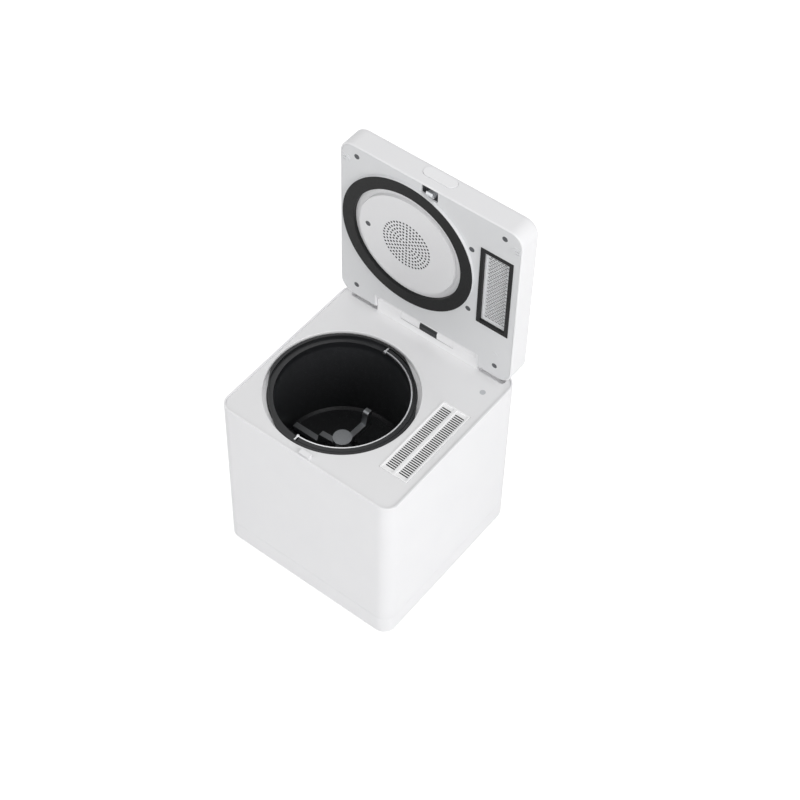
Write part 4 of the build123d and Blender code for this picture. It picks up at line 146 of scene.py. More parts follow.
def moulded_rubber(name, colour, dust, roughness, grain):
    """A moulded rubber: dull, softly sheened, with dust in its grain."""
    material, tree = new_material(name)
    place = add_node(tree, "ShaderNodeTexCoord").outputs["Object"]
    specks = add_node(
        tree, "ShaderNodeTexNoise", {"Vector": place, "Scale": 420.0, "Detail": 4.0}
    )
    settled = add_node(
        tree,
        "ShaderNodeMapRange",
        {"Value": specks.outputs["Fac"], "From Min": 0.45, "From Max": 0.75, "To Max": 0.5},
    )
    tint = add_node(
        tree,
        "ShaderNodeMix",
        {"Factor": settled.outputs["Result"], "A": linear(colour), "B": linear(dust)},
        data_type="RGBA",
    )
    skin = add_node(
        tree, "ShaderNodeTexNoise", {"Vector": place, "Scale": 1 / grain, "Detail": 2.0}
    )
    bump = add_node(
        tree, "ShaderNodeBump", {"Height": skin.outputs["Fac"], "Distance": 0.00002, "Strength": 1.0}
    )
    dull = add_node(
        tree,
        "ShaderNodeMapRange",
        {
            "Value": specks.outputs["Fac"],
            "From Min": 0.3,
            "From Max": 0.7,
            "To Min": roughness - 0.06,
            "To Max": roughness + 0.06,
        },
    )
    surface = add_node(
        tree,
        "ShaderNodeBsdfPrincipled",
        {
            "Base Color": tint.outputs["Result"],
            "Roughness": dull.outputs["Result"],
            "Normal": bump.outputs["Normal"],
            "IOR": 1.43,
            "Sheen Weight": 0.12,
            "Sheen Roughness": 0.4,
        },
    )
    add_node(tree, "ShaderNodeOutputMaterial", {"Surface": surface.outputs["BSDF"]})
    return material


silicone_black = moulded_rubber("silicone_moulded_black", "#18191a", "#2b2c2d", 0.52, 0.0008)
dress(silicone_black, "rubber_feet")

# ---- base screws: four steel screws, zinc plated, in deep seats under the tray.
# The plating is a cool bright grey, clouded where the bath left it uneven.


def plated(name, colour, cloud, roughness, streak=(1.0, 1.0, 1.0), scale=350.0):
    """A metal finish: a clouded tint, and fine marks drawn out along the axis that streak names."""
    material, tree = new_material(name)
    place = add_node(tree, "ShaderNodeTexCoord").outputs["Object"]
    drawn = add_node(tree, "ShaderNodeMapping", {"Vector": place, "Scale": streak})
    marks = add_node(
        tree,
        "ShaderNodeTexNoise",
        {"Vector": drawn.outputs["Vector"], "Scale": scale, "Detail": 3.0, "Roughness": 0.6},
    )
    tint = add_node(
        tree,
        "ShaderNodeMix",
        {"Factor": marks.outputs["Fac"], "A": linear(colour), "B": linear(cloud)},
        data_type="RGBA",
    )
    polish = add_node(
        tree,
        "ShaderNodeMapRange",
        {
            "Value": marks.outputs["Fac"],
            "From Min": 0.3,
            "From Max": 0.7,
            "To Min": roughness - 0.05,
            "To Max": roughness + 0.07,
        },
    )
    bump = add_node(
        tree, "ShaderNodeBump", {"Height": marks.outputs["Fac"], "Distance": 0.000012, "Strength": 1.0}
    )
    surface = add_node(
        tree,
        "ShaderNodeBsdfPrincipled",
        {
            "Base Color": tint.outputs["Result"],
            "Metallic": 1.0,
            "Roughness": polish.outputs["Result"],
            "Normal": bump.outputs["Normal"],
        },
    )
    add_node(tree, "ShaderNodeOutputMaterial", {"Surface": surface.outputs["BSDF"]})
    return material


zinc_steel = plated("steel_zinc_plated", "#c9cbcd", "#aeb2b6", 0.3)
dress(zinc_steel, "base_screws", "lid_screws")

# ---- outer casing: one tall moulded shell with a thin rim round the deck.
# The same white ABS as the tray, from the same eroded mould.
dress(casing_white, "outer_casing")

# ---- gearbox: glass-filled nylon housing and cover, with sintered bronze bushes in it.
# Nylon with glass has a grey-black, slightly streaked and rather dull skin.
nylon_black = moulded("nylon_glass_filled_black", "#232426", "#2d2e31", 0.55, 0.0012, 0.00003)
dress(nylon_black, "gearbox_housing", "gearbox_cover")
bronze = plated("bronze_sintered", "#b08a57", "#8d6a3f", 0.42, scale=1500.0)
dress(bronze, "gearbox_bushes", "agitator_bush")

# ---- gears and shaft: hobbed steel, oiled, with fine marks across the teeth.
# The motor's pinion turns the idler, and the idler the big gear on the output shaft.
gear_steel = plated("steel_hobbed", "#b9bbbd", "#94979a", 0.28, (1.0, 1.0, 6.0), 500.0)
dress(gear_steel, "drive_shaft", "idler_gear", "motor_pinion")

# ---- motor cans: deep-drawn steel with a plated skin, drawn marks running up the can.
# The large one hangs from the gearbox by two screws, and the small one turns the fan.
drawn_steel = plated("steel_deep_drawn", "#b4b7ba", "#8f9397", 0.34, (1.0, 1.0, 0.1), 420.0)
dress(drawn_steel, "motor", "fan_motor")

# ---- well liner and heater: pressed aluminium round the bucket, and a cast ring clamped under it.
# Bare aluminium is a pale grey with a dull sheen, cloudy where the press dragged it.
pressed_aluminium = plated("aluminium_pressed", "#d0d2d4", "#b4b7ba", 0.36)
dress(pressed_aluminium, "well_liner", "heater_ring")

# ---- insulation jacket: needled glass felt wrapped round the liner, its fibres lying every way.
# The cut edges are a little rounded and the thickness wanders, so the wrap is never quite true.
JACKET_T = 0.0075
JACKET_EDGE = 0.0016
JACKET_STEPS = 160
JACKET_ROWS = 24
FELT_WAVE = 0.009
FELT_DEPTH = 0.0006


def corners(name):
    """The low and the high corner of a CAD node's box."""
    return [Vector(corner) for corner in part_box(name)]


def rectangle_ring(shape, centre, axis, arm, half, steps, turn=2 * pi):
    """Spins a small rectangle round an axis through centre, with arm reaching its middle.

    half holds the rectangle's half sizes, first along the arm and then along the axis.
    """
    out, up = arm.normalized(), axis.normalized()
    place = Matrix((out * half[0], up * half[1], out.cross(up))).transposed().to_4x4()
    place.translation = centre + arm
    outline = bmesh.ops.create_circle(
        shape, segments=4, radius=sqrt(2), matrix=place @ Matrix.Rotation(pi / 4, 4, "Z")
    )["verts"]
    bmesh.ops.spin(
        shape,
        geom=outline + list({edge for vert in outline for edge in vert.link_edges}),
        cent=centre,
        axis=up,
        angle=turn,
        steps=steps,
        use_merge=turn == 2 * pi,
    )
    bmesh.ops.holes_fill(shape, edges=[edge for edge in shape.edges if edge.is_boundary])


def rounded(shape, radius, segments=3):
    """Rounds every edge of a bmesh where its faces turn by more than a radian."""
    sharp = [edge for edge in shape.edges if edge.calc_face_angle(0.0) > 1.0]
    bmesh.ops.bevel(
        shape,
        geom=sharp,
        offset=radius,
        affect="EDGES",
        segments=segments,
        profile=0.5,
        material=-1,
        clamp_overlap=True,
    )


def unevened(shape, size, depth):
    """Moves each vertex along its normal by a soft noise of the given size and depth."""
    shape.normal_update()
    moves = [vert.normal * depth * noise.noise(vert.co / size) for vert in shape.verts]
    for vert, move in zip(shape.verts, moves):
        vert.co += move


def finished(name, shape, material, body):
    """Turns a bmesh into a piece with its material, attached to its body."""
    bmesh.ops.remove_doubles(shape, verts=shape.verts, dist=0.000002)
    bmesh.ops.recalc_face_normals(shape, faces=shape.faces)
    mesh = bpy.data.meshes.new(name)
    shape.to_mesh(mesh)
    shape.free()
    mesh.materials.append(material)
    for face in mesh.polygons:
        face.use_smooth = True
    piece = bpy.data.objects.new(name, mesh)
    bpy.context.scene.collection.objects.link(piece)
    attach(piece, body)
    return piece


felt, felt_tree = new_material("glass_felt_needled")
felt_place = add_node(felt_tree, "ShaderNodeTexCoord").outputs["Object"]
felt_fibres = add_node(
    felt_tree,
    "ShaderNodeTexNoise",
    {"Vector": felt_place, "Scale": 900.0, "Detail": 6.0, "Distortion": 2.0},
)
felt_tint = add_node(
    felt_tree,
    "ShaderNodeMix",
    {"Factor": felt_fibres.outputs["Fac"], "A": linear("#c9c5b6"), "B": linear("#f0ede2")},
    data_type="RGBA",
)
felt_bump = add_node(
    felt_tree, "ShaderNodeBump", {"Height": felt_fibres.outputs["Fac"], "Distance": 0.0005}
)
felt_skin = add_node(
    felt_tree,
    "ShaderNodeBsdfPrincipled",
    {
        "Base Color": felt_tint.outputs["Result"],
        "Roughness": 0.95,
        "Normal": felt_bump.outputs["Normal"],
        "Sheen Weight": 0.4,
    },
)
add_node(felt_tree, "ShaderNodeOutputMaterial", {"Surface": felt_skin.outputs["BSDF"]})

jacket_low, jacket_high = corners("insulation_jacket")
jacket_middle = (jacket_low + jacket_high) / 2
jacket_half = (jacket_high - jacket_low) / 2
jacket = bmesh.new()
rectangle_ring(
    jacket,
    jacket_middle,
    Vector((0.0, 0.0, 1.0)),
    Vector((jacket_half.x - JACKET_T / 2, 0.0, 0.0)),
    (JACKET_T / 2, jacket_half.z),
    JACKET_STEPS,
)
rounded(jacket, JACKET_EDGE)
upright = [edge for edge in jacket.edges if edge.calc_length() > jacket_half.z]
bmesh.ops.subdivide_edges(jacket, edges=upright, cuts=JACKET_ROWS)
unevened(jacket, FELT_WAVE, FELT_DEPTH)
jacket_piece = finished("felt_jacket", jacket, felt, "base")
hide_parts("insulation_jacket")

# ---- shaft seal: a rubber lip ring pressed in round the output shaft at the liner's floor.
# The same dull black silicone as the feet.
dress(silicone_black, "shaft_seal")

# ---- filter housing, blower, duct and exhaust grille: grey polypropylene, and the fan in it.
# Polypropylene is a little waxy, so its highlights are broad.
polypropylene_grey = moulded("polypropylene_moulded_grey", "#9a9c9f", "#8f9295", 0.42, 0.0011, 0.00001)
dress(polypropylene_grey, "filter_housing", "blower_housing", "exhaust_duct")
dress(casing_white, "exhaust_grille")
polypropylene_black = moulded("polypropylene_moulded_black", "#26272a", "#2e2f32", 0.4, 0.001, 0.00001)
dress(polypropylene_black, "fan_impeller")

# ---- power board: green laminate with a transformer, capacitors, relays and a connector.
# The solder mask is a thin glossy coat, and the copper under it shows as lighter tracks.
laminate, laminate_tree = new_material("laminate_solder_mask_green")
laminate_place = add_node(laminate_tree, "ShaderNodeTexCoord").outputs["Object"]
laminate_tracks = add_node(
    laminate_tree,
    "ShaderNodeTexBrick",
    {
        "Vector": laminate_place,
        "Color1": linear("#1d5a37"),
        "Color2": linear("#17482c"),
        "Mortar": linear("#3c8a5a"),
        "Scale": 90.0,
        "Mortar Size": 0.03,
    },
)
laminate_skin = add_node(
    laminate_tree,
    "ShaderNodeBsdfPrincipled",
    {"Base Color": laminate_tracks.outputs["Color"], "Roughness": 0.3, "IOR": 1.52},
)
add_node(laminate_tree, "ShaderNodeOutputMaterial", {"Surface": laminate_skin.outputs["BSDF"]})
dress(laminate, "power_board")

# ---- mains inlet: a black nylon socket screwed in from behind, with three flat pins.
# The pins are brass with a nickel plate, which is a little warmer than zinc.
dress(nylon_black, "mains_inlet")
nickel_brass = plated("brass_nickel_plated", "#cfcac0", "#b8b3a8", 0.22, (1.0, 0.1, 1.0), 600.0)
dress(nickel_brass, "inlet_pins")

# ---- deck panel: the white plate inside the rim, a shade greyer than the casing.
# Moulded ABS with the same satin skin.
deck_white = moulded("abs_moulded_deck_white", "#eeeeef", "#ebebec", 0.2, 0.0009, 0.000006)
dress(deck_white, "deck_panel")

# ---- lid sensor and striker: a small grey cap flush in the deck, and the white block that the
# lid's hook catches. Both are moulded ABS, snapped in from above.
sensor_grey = moulded("abs_moulded_light_grey", "#c4c6c9", "#bcbec2", 0.38, 0.0008, 0.00001)
dress(sensor_grey, "lid_sensor")
dress(casing_white, "latch_striker")

# ---- hinge: a long white housing on the deck, the lid's knuckle in it, steel pins, and a dark
# drum in the gap that hides the lid's leads. The housing's mould was polished finer than the
# casing's, so its skin is glossier; its whiter white is a painted highlight.
# Painted highlight: the housing and knuckle are a shade whiter than the casing's white.
hinge_white = moulded("abs_moulded_hinge_white_painted_highlight", "#fafafb", "#f7f7f8", 0.3, 0.0009, 0.000006)
dress(hinge_white, "hinge_housing", "lid_knuckle")
dress(drawn_steel, "hinge_pins")
drum_black = moulded("nylon_moulded_black", "#1f2022", "#26272a", 0.42, 0.001, 0.00001)
dress(drum_black, "cable_drum")

# ---- bucket: a spun aluminium pot with a dark non-stick coat, and its grey-black collar.
# The coat is sprayed and cured, a satin with pale specks, over the rings of the spinning tool.
coat, coat_tree = new_material("aluminium_spun_nonstick_coated")
coat_place = add_node(coat_tree, "ShaderNodeTexCoord").outputs["Object"]
bucket_axis = Vector((jacket_middle.x, jacket_middle.y, 0.0))
coat_centred = add_node(
    coat_tree, "ShaderNodeMapping", {"Vector": coat_place, "Location": -bucket_axis}
)
coat_rings = add_node(
    coat_tree,
    "ShaderNodeTexWave",
    {"Vector": coat_centred.outputs["Vector"], "Scale": 190.0, "Distortion": 0.4},
    wave_type="RINGS",
    rings_direction="Z",
)
coat_specks = add_node(
    coat_tree, "ShaderNodeTexNoise", {"Vector": coat_place, "Scale": 1400.0, "Detail": 1.0}
)
coat_speck_level = add_node(
    coat_tree,
    "ShaderNodeMapRange",
    {"Value": coat_specks.outputs["Fac"], "From Min": 0.66, "From Max": 0.72},
)
coat_tint = add_node(
    coat_tree,
    "ShaderNodeMix",
    {"Factor": coat_speck_level.outputs["Result"], "A": linear("#2a2b2d"), "B": linear("#77797c")},
    data_type="RGBA",
)
coat_bump = add_node(
    coat_tree,
    "ShaderNodeBump",
    {"Height": coat_rings.outputs["Fac"], "Distance": 0.00002, "Strength": 1.0},
)
coat_skin = add_node(
    coat_tree,
    "ShaderNodeBsdfPrincipled",
    {
        "Base Color": coat_tint.outputs["Result"],
        "Roughness": 0.34,
        "Normal": coat_bump.outputs["Normal"],
        "IOR": 1.4,
    },
)
add_node(coat_tree, "ShaderNodeOutputMaterial", {"Surface": coat_skin.outputs["BSDF"]})
dress(coat, "bucket")
collar_black = moulded("nylon_moulded_collar_black", "#1b1c1e", "#202123", 0.3, 0.001, 0.00001)
dress(collar_black, "bucket_collar", "bail_grip", "agitator_coupling")

# ---- bail: a bright stainless strip bent to a half ring, with its pivot pins.
# The strip is rolled bright and the grip is moulded round its outside.
stainless = plated("stainless_bright_drawn", "#f4f4f5", "#e6e7e9", 0.3)
dress(stainless, "bail_strip", "bail_pins")

# ---- agitator: a cast aluminium stirrer, shot-blasted after casting.
# Blasting leaves it a dull even grey with a fine tooth.
cast_aluminium = plated("aluminium_cast_blasted", "#a9abad", "#8e9194", 0.46, scale=700.0)
dress(cast_aluminium, "agitator")

# ---- grille cover: moulded in a brighter white than the deck, and lifted out by its ends to
# change the filter under it. The walls of its slots, behind its face, carry a painted shade,
# so that the slots read as black as they look from above.
GRILLE_PLATE_DROP = 0.002
GRILLE_SHADE_REACH = 0.1


def painted_shade_behind_face(material, middle, inward, reach, dark):
    """Paints shade on what lies behind the face through middle, out to reach from it."""
    tree = material.node_tree
    skin = next(node for node in tree.nodes if node.type == "BSDF_PRINCIPLED")
    clean = skin.inputs["Base Color"].links[0].from_socket
    place = add_node(tree, "ShaderNodeTexCoord").outputs["Object"]
    centred = add_node(
        tree, "ShaderNodeVectorMath", {0: place, 1: middle}, operation="SUBTRACT"
    ).outputs["Vector"]
    depth = add_node(
        tree, "ShaderNodeVectorMath", {0: centred, 1: inward}, operation="DOT_PRODUCT"
    )
    # Painted shade: the colour turns dark from 0.2 mm to 0.6 mm behind the face.
    deep = add_node(
        tree,
        "ShaderNodeMapRange",
        {"Value": depth.outputs["Value"], "From Min": 0.0002, "From Max": 0.0006},
    )
    away = add_node(tree, "ShaderNodeVectorMath", {0: centred}, operation="LENGTH")
    inside = add_node(
        tree, "ShaderNodeMath", {0: away.outputs["Value"], 1: reach}, operation="LESS_THAN"
    )
    level = add_node(
        tree,
        "ShaderNodeMath",
        {0: deep.outputs["Result"], 1: inside.outputs["Value"]},
        operation="MULTIPLY",
    )
    tint = add_node(
        tree,
        "ShaderNodeMix",
        {"Factor": level.outputs["Value"], "A": clean, "B": linear(dark)},
        data_type="RGBA",
    )
    tree.links.new(tint.outputs["Result"], skin.inputs["Base Color"])


grille_white = moulded("abs_moulded_grille_white_painted_shade", "#fafafa", "#f7f7f8", 0.26, 0.0009, 0.00001)
grille_low, grille_high = corners("grille_cover")
grille_face = (grille_low + grille_high) / 2
grille_face.z = grille_high.z - GRILLE_PLATE_DROP
# Painted shade: the walls of the grille's slots, below its face, are coloured dark grey.
painted_shade_behind_face(grille_white, grille_face, (0.0, 0.0, -1.0), GRILLE_SHADE_REACH, "#2b2c2d")
dress(grille_white, "grille_cover")

# ---- prefilter foam: a pad of black open-cell foam cut with a hot wire to fit under the grille.
# Its faces are cratered by the opened cells, about 1.1 mm each, and swallow nearly all light.
foam, foam_tree = new_material("polyurethane_foam_open_cell")
foam_place = add_node(foam_tree, "ShaderNodeTexCoord").outputs["Object"]
foam_cells = add_node(foam_tree, "ShaderNodeTexVoronoi", {"Vector": foam_place, "Scale": 900.0})
# Painted shade: each cell is darker in its hollow middle and lighter on its walls.
foam_painted_shade_tint = add_node(
    foam_tree,
    "ShaderNodeMix",
    {"Factor": foam_cells.outputs["Distance"], "A": linear("#060607"), "B": linear("#1b1c1e")},
    data_type="RGBA",
)
foam_bump = add_node(
    foam_tree, "ShaderNodeBump", {"Height": foam_cells.outputs["Distance"], "Distance": 0.0006}
)
foam_skin = add_node(
    foam_tree,
    "ShaderNodeBsdfPrincipled",
    {
        "Base Color": foam_painted_shade_tint.outputs["Result"],
        "Roughness": 0.9,
        "Normal": foam_bump.outputs["Normal"],
    },
)
add_node(foam_tree, "ShaderNodeOutputMaterial", {"Surface": foam_skin.outputs["BSDF"]})

FOAM_EDGE = 0.0012
FOAM_PITCH = 0.0013
CELL_WAVE = 0.0011
CELL_DEPTH = 0.00035
foam_low, foam_high = corners("filter_foam")
pad = bmesh.new()
bmesh.ops.create_cube(
    pad,
    size=1.0,
    matrix=Matrix.Translation((foam_low + foam_high) / 2)
    @ Matrix.Diagonal((*(foam_high - foam_low), 1.0)),
)
rounded(pad, FOAM_EDGE)
for axis in (0, 1):
    runs = [
        edge
        for edge in pad.edges
        if abs(edge.verts[0].co[axis] - edge.verts[1].co[axis]) > 4 * FOAM_PITCH
    ]
    cuts = round(runs[0].calc_length() / FOAM_PITCH)
    bmesh.ops.subdivide_edges(pad, edges=runs, cuts=cuts, use_grid_fill=True)
unevened(pad, CELL_WAVE, CELL_DEPTH)
foam_pad = finished("foam_pad", pad, foam, "filter_pack")
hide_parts("filter_foam")

# ---- filter cartridge: a black slotted tray, filled with pellets of activated charcoal.
# The pellets are extruded, about 3 mm across, and dull black; the colour is lighter in each pellet's
# middle and darker towards the gaps between pellets, a painted light and shade.
dress(polypropylene_black, "filter_cartridge")
charcoal, charcoal_tree = new_material("charcoal_activated_pellets")
charcoal_place = add_node(charcoal_tree, "ShaderNodeTexCoord").outputs["Object"]
charcoal_pellets = add_node(
    charcoal_tree, "ShaderNodeTexVoronoi", {"Vector": charcoal_place, "Scale": 330.0}
)
# Painted shade: darker towards the gaps between pellets, lighter in their middles.
charcoal_painted_shade_tint = add_node(
    charcoal_tree,
    "ShaderNodeMix",
    {"Factor": charcoal_pellets.outputs["Distance"], "A": linear("#2c2c2e"), "B": linear("#0f0f10")},
    data_type="RGBA",
)
charcoal_bump = add_node(
    charcoal_tree,
    "ShaderNodeBump",
    {"Height": charcoal_pellets.outputs["Distance"], "Distance": 0.0012},
    invert=True,
)
charcoal_skin = add_node(
    charcoal_tree,
    "ShaderNodeBsdfPrincipled",
    {
        "Base Color": charcoal_painted_shade_tint.outputs["Result"],
        "Roughness": 0.7,
        "Normal": charcoal_bump.outputs["Normal"],
    },
)
add_node(charcoal_tree, "ShaderNodeOutputMaterial", {"Surface": charcoal_skin.outputs["BSDF"]})
dress(charcoal, "charcoal_bed")

# ---- lid shell: the flat white lid, moulded from the casing's ABS in the same eroded mould.
# Its corners are as round as the casing's.
dress(casing_white, "lid_shell")

# ---- touch glass: a strip of flat glass, painted black behind and glued into the lid's top.
# Finger marks dull its gloss in soft patches.
glass, glass_tree = new_material("glass_back_painted_black")
glass_place = add_node(glass_tree, "ShaderNodeTexCoord").outputs["Object"]
glass_smear = add_node(
    glass_tree, "ShaderNodeTexNoise", {"Vector": glass_place, "Scale": 45.0, "Detail": 4.0}
)
glass_gloss = add_node(
    glass_tree,
    "ShaderNodeMapRange",
    {
        "Value": glass_smear.outputs["Fac"],
        "From Min": 0.4,
        "From Max": 0.7,
        "To Min": 0.05,
        "To Max": 0.16,
    },
)
glass_skin = add_node(
    glass_tree,
    "ShaderNodeBsdfPrincipled",
    {
        "Base Color": linear("#0c0d0f"),
        "Roughness": glass_gloss.outputs["Result"],
        "IOR": 1.52,
        "Coat Weight": 1.0,
        "Coat Roughness": 0.03,
    },
)
add_node(glass_tree, "ShaderNodeOutputMaterial", {"Surface": glass_skin.outputs["BSDF"]})
dress(glass, "touch_panel")

# ---- marks printed behind the glass: a start ring with its bar, and three smaller rings for the
# programmes, each over a dot that lights. White screen ink, a few hundredths of a millimetre thick.
ink_white = moulded("screen_ink_white", "#e9eaeb", "#dfe0e2", 0.35, 0.0012, 0.000004, ior=1.48)
INK_HALF = 0.00002
LINE_HALF = 0.0003
START_R = 0.0056
START_GAP = 0.9
PROGRAMME_R = 0.0042
DOT_R = 0.0007
DOT_DROP = 0.0085
MARK_STEPS = 48
DOT_STEPS = 20
glass_low, glass_high = corners("touch_panel")
glass_middle_z = (glass_low.z + glass_high.z) / 2
marks = bmesh.new()
for mark_x, mark_r, gap in (
    (-0.042, START_R, START_GAP),
    (-0.010, PROGRAMME_R, 0.0),
    (0.014, PROGRAMME_R, 0.0),
    (0.038, PROGRAMME_R, 0.0),
):
    middle = Vector((mark_x, glass_high.y + INK_HALF, glass_middle_z))
    start = Matrix.Rotation(-gap / 2, 3, "Y") @ Vector((0.0, 0.0, mark_r))
    half = (LINE_HALF, INK_HALF)
    rectangle_ring(marks, middle, Vector((0.0, -1.0, 0.0)), start, half, MARK_STEPS, 2 * pi - gap)
    if gap:
        bar = Vector((0.0, 0.0, mark_r))
        bmesh.ops.create_cube(
            marks,
            size=2.0,
            matrix=Matrix.Translation(middle + bar)
            @ Matrix.Diagonal((LINE_HALF, INK_HALF, 0.5 * mark_r, 1.0)),
        )
    else:
        bmesh.ops.create_cone(
            marks,
            cap_ends=True,
            segments=DOT_STEPS,
            radius1=DOT_R,
            radius2=DOT_R,
            depth=2 * INK_HALF,
            matrix=Matrix.Translation(middle - Vector((0.0, 0.0, DOT_DROP)))
            @ Matrix.Rotation(pi / 2, 4, "X"),
        )
finished("touch_marks", marks, ink_white, "lid")

# ---- inner panel and vent disc: the underside of the lid, in a cooler and greyer white ABS.
# The disc is a separate moulding with a finer skin, snapped in over the air channel. The walls
# of its holes carry a painted shade, like the grille's slots.
HOLES_SHADE_REACH = 0.079
panel_white = moulded("abs_moulded_panel_grey_white", "#e3e4e5", "#dfe0e2", 0.34, 0.0009, 0.00001)
dress(panel_white, "inner_panel")
disc_white = moulded("abs_moulded_disc_white_painted_shade", "#ebebec", "#e8e8ea", 0.3, 0.0009, 0.00001)
disc_low, disc_high = corners("vent_disc")
disc_face = (disc_low + disc_high) / 2
disc_face.y = disc_low.y
# Painted shade: the walls of the disc's holes are coloured dark grey.
painted_shade_behind_face(disc_white, disc_face, (0.0, 1.0, 0.0), HOLES_SHADE_REACH, "#2b2c2d")
dress(disc_white, "vent_disc")
# The air channel behind the disc is a real part; its dark grey is a painted shade that makes the
# disc's holes read dark.
polypropylene_dark = moulded(
    "polypropylene_moulded_dark_grey", "#3a3b3d", "#343537", 0.5, 0.0011, 0.00001
)
dress(polypropylene_dark, "air_channel")

# ---- gaskets and window mesh: moulded black silicone round the disc and round the filter's
# window, and a pale mesh behind the window with its frame, moulded in one.
gasket_black = moulded_rubber("silicone_moulded_gasket_black", "#0c0d0e", "#151617", 0.6, 0.0008)
dress(gasket_black, "round_gasket", "window_gasket")
mesh_white = moulded("polypropylene_moulded_mesh_white", "#e6e7e8", "#e0e1e3", 0.4, 0.0008, 0.00001)
dress(mesh_white, "window_mesh")

# ---- plugs and magnet: soft dark grey plugs pressed in over the lid's screws, and a small
# plated magnet behind the panel, over the deck's sensor.
plug_grey = moulded("elastomer_moulded_plug_grey", "#57595c", "#505255", 0.5, 0.0008, 0.00001)
dress(plug_grey, "screw_plugs")
dress(zinc_steel, "lid_magnet")

# ---- latch: a grey housing in the lid's recess, and in it a pressed steel hook on its pin,
# held forward by a coil spring wound from 0.8 mm wire, zinc plated like the screws.
latch_grey = moulded(
    "polypropylene_moulded_latch_grey", "#5d5f62", "#56585b", 0.42, 0.0011, 0.00001
)
dress(latch_grey, "latch_housing")
pressed_steel = plated("steel_pressed_zinc_plated", "#eceef0", "#dddfe2", 0.45)
dress(pressed_steel, "latch_hook")
dress(zinc_steel, "hook_pin")
SPRING_R = 0.0024
WIRE_R = 0.0004
SPRING_TURNS = 3.5
SPRING_PITCH = 0.0009
SPRING_STEPS = 28
WIRE_STEPS = 10
pin_low, pin_high = corners("hook_pin")
spring_start = (pin_low + pin_high) / 2
spring_start.x = corners("hook_spring")[0].x
coil = bmesh.new()
wire = bmesh.ops.create_circle(
    coil,
    segments=WIRE_STEPS,
    radius=WIRE_R,
    matrix=Matrix.Translation(spring_start + Vector((WIRE_R, 0.0, SPRING_R)))
    @ Matrix.Rotation(pi / 2, 4, "X"),
)["verts"]
bmesh.ops.spin(
    coil,
    geom=wire + list({edge for vert in wire for edge in vert.link_edges}),
    cent=spring_start,
    axis=(1.0, 0.0, 0.0),
    dvec=(SPRING_PITCH / SPRING_STEPS, 0.0, 0.0),
    angle=2 * pi * SPRING_TURNS,
    steps=int(SPRING_STEPS * SPRING_TURNS),
)
bmesh.ops.holes_fill(coil, edges=[edge for edge in coil.edges if edge.is_boundary])
spring_piece = finished("hook_coil_spring", coil, zinc_steel, "hook")
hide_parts("hook_spring")

# ---- release button: a long white cap through the lid's front, moulded in a glossier mould
# than the lid, so that its rim catches a bright line.
button_white = moulded("abs_moulded_button_white", "#fafafb", "#f6f6f8", 0.16, 0.0012, 0.000004)
dress(button_white, "release_button")

# ---- floor: a plain pale paper surface that fades to white where the camera sees it, and
# keeps the machine's shadow.
FLOOR_HALF = 12.0
PAPER_LIFT = 0.5
floor_shape = bmesh.new()
bmesh.ops.create_grid(floor_shape, x_segments=8, y_segments=8, size=FLOOR_HALF)
floor_mesh = bpy.data.meshes.new("floor")
floor_shape.to_mesh(floor_mesh)
floor_shape.free()
floor = bpy.data.objects.new("floor", floor_mesh)
bpy.context.scene.collection.objects.link(floor)
paper, paper_tree = new_material("paper_backdrop_white")
paper_path = add_node(paper_tree, "ShaderNodeLightPath")
paper_seen = add_node(
    paper_tree,
    "ShaderNodeMath",
    {0: paper_path.outputs["Is Camera Ray"], 1: paper_path.outputs["Is Transmission Ray"]},
    operation="MAXIMUM",
)
paper_level = add_node(
    paper_tree,
    "ShaderNodeMath",
    {0: paper_seen.outputs["Value"], 1: PAPER_LIFT},
    operation="MULTIPLY",
)
paper_diffuse = add_node(
    paper_tree, "ShaderNodeBsdfDiffuse", {"Color": linear("#f7f7f7"), "Roughness": 1.0}
)
paper_lift = add_node(
    paper_tree,
    "ShaderNodeEmission",
    {"Color": (1.0, 1.0, 1.0, 1.0), "Strength": paper_level.outputs["Value"]},
)
paper_both = add_node(
    paper_tree,
    "ShaderNodeAddShader",
    {0: paper_diffuse.outputs["BSDF"], 1: paper_lift.outputs["Emission"]},
)
add_node(paper_tree, "ShaderNodeOutputMaterial", {"Surface": paper_both.outputs["Shader"]})
floor_mesh.materials.append(paper)

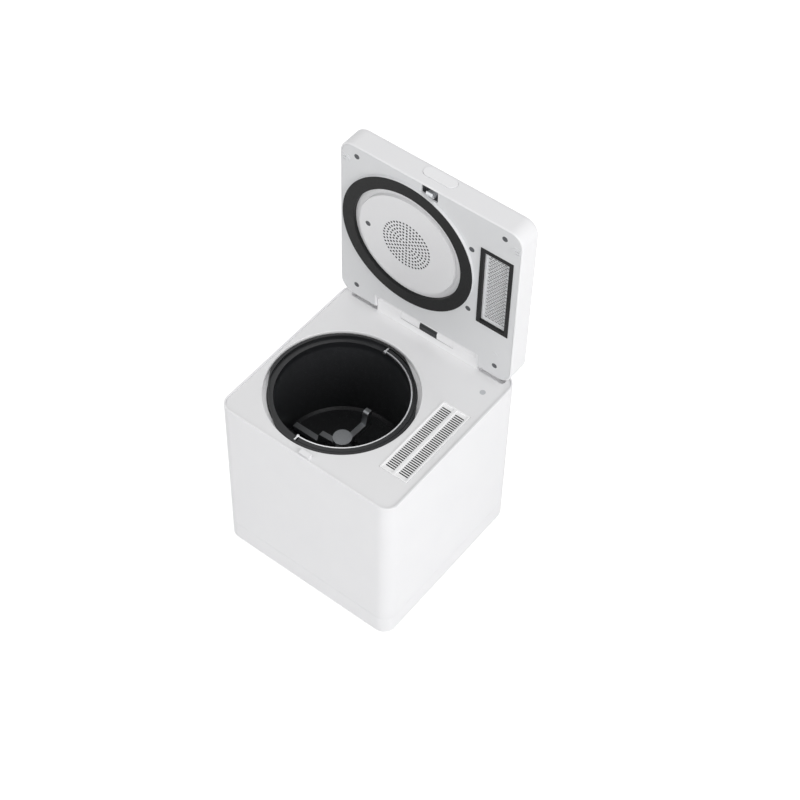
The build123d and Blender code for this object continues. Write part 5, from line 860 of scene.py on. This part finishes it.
# ---- light: an even white room, and two large soft lamps. The stronger one stands to the
# right, so that the right wall is the brightest.
world = bpy.data.worlds.new("studio")
world.use_nodes = True
bpy.context.scene.world = world
world.node_tree.nodes.clear()
room_path = add_node(world.node_tree, "ShaderNodeLightPath")
room_seen = add_node(
    world.node_tree,
    "ShaderNodeMath",
    {0: room_path.outputs["Is Camera Ray"], 1: room_path.outputs["Is Transmission Ray"]},
    operation="MAXIMUM",
)
room_mirrored = add_node(
    world.node_tree,
    "ShaderNodeMath",
    {0: room_seen.outputs["Value"], 1: room_path.outputs["Is Glossy Ray"]},
    operation="MAXIMUM",
)
room_level = add_node(
    world.node_tree,
    "ShaderNodeMapRange",
    {"Value": room_mirrored.outputs["Value"], "To Min": 0.62, "To Max": 1.0},
)
room_light = add_node(
    world.node_tree,
    "ShaderNodeBackground",
    {"Color": (1.0, 1.0, 1.0, 1.0), "Strength": room_level.outputs["Result"]},
)
add_node(world.node_tree, "ShaderNodeOutputWorld", {"Surface": room_light.outputs["Background"]})


def soft_lamp(name, place, target, side, watts):
    """A square lamp with the given side in metres, turned towards the target."""
    light = bpy.data.lights.new(name, "AREA")
    light.shape = "SQUARE"
    light.size = side
    light.energy = watts
    lamp = bpy.data.objects.new(name, light)
    lamp.location = place
    lamp.rotation_euler = (Vector(target) - Vector(place)).to_track_quat("-Z", "Y").to_euler()
    bpy.context.scene.collection.objects.link(lamp)


MACHINE_MIDDLE = (0.0, 0.0, 0.3)
soft_lamp("key", (3.2, -0.9, 2.0), MACHINE_MIDDLE, 2.2, 60.0)
soft_lamp("fill", (-1.4, -3.0, 2.6), MACHINE_MIDDLE, 2.4, 18.0)

# ---- camera: a long lens well above the machine, to its front and right, where the
# photograph was taken from.
CAMERA_PLACE = (1.0637, -1.3645, 2.4257)
CAMERA_LOOK = (-0.3956, 0.4956, -0.7732)
LENS_MM = 88.79
camera_data = bpy.data.cameras.new("camera")
camera_data.sensor_fit = "HORIZONTAL"
camera_data.sensor_width = 36.0
camera_data.lens = LENS_MM
camera_data.shift_x = 0.0567
camera_data.shift_y = -0.0149
camera = bpy.data.objects.new("camera", camera_data)
camera.location = CAMERA_PLACE
camera.rotation_euler = Vector(CAMERA_LOOK).to_track_quat("-Z", "Y").to_euler()
bpy.context.scene.collection.objects.link(camera)
bpy.context.scene.camera = camera
bpy.context.scene.view_settings.view_transform = "Standard"
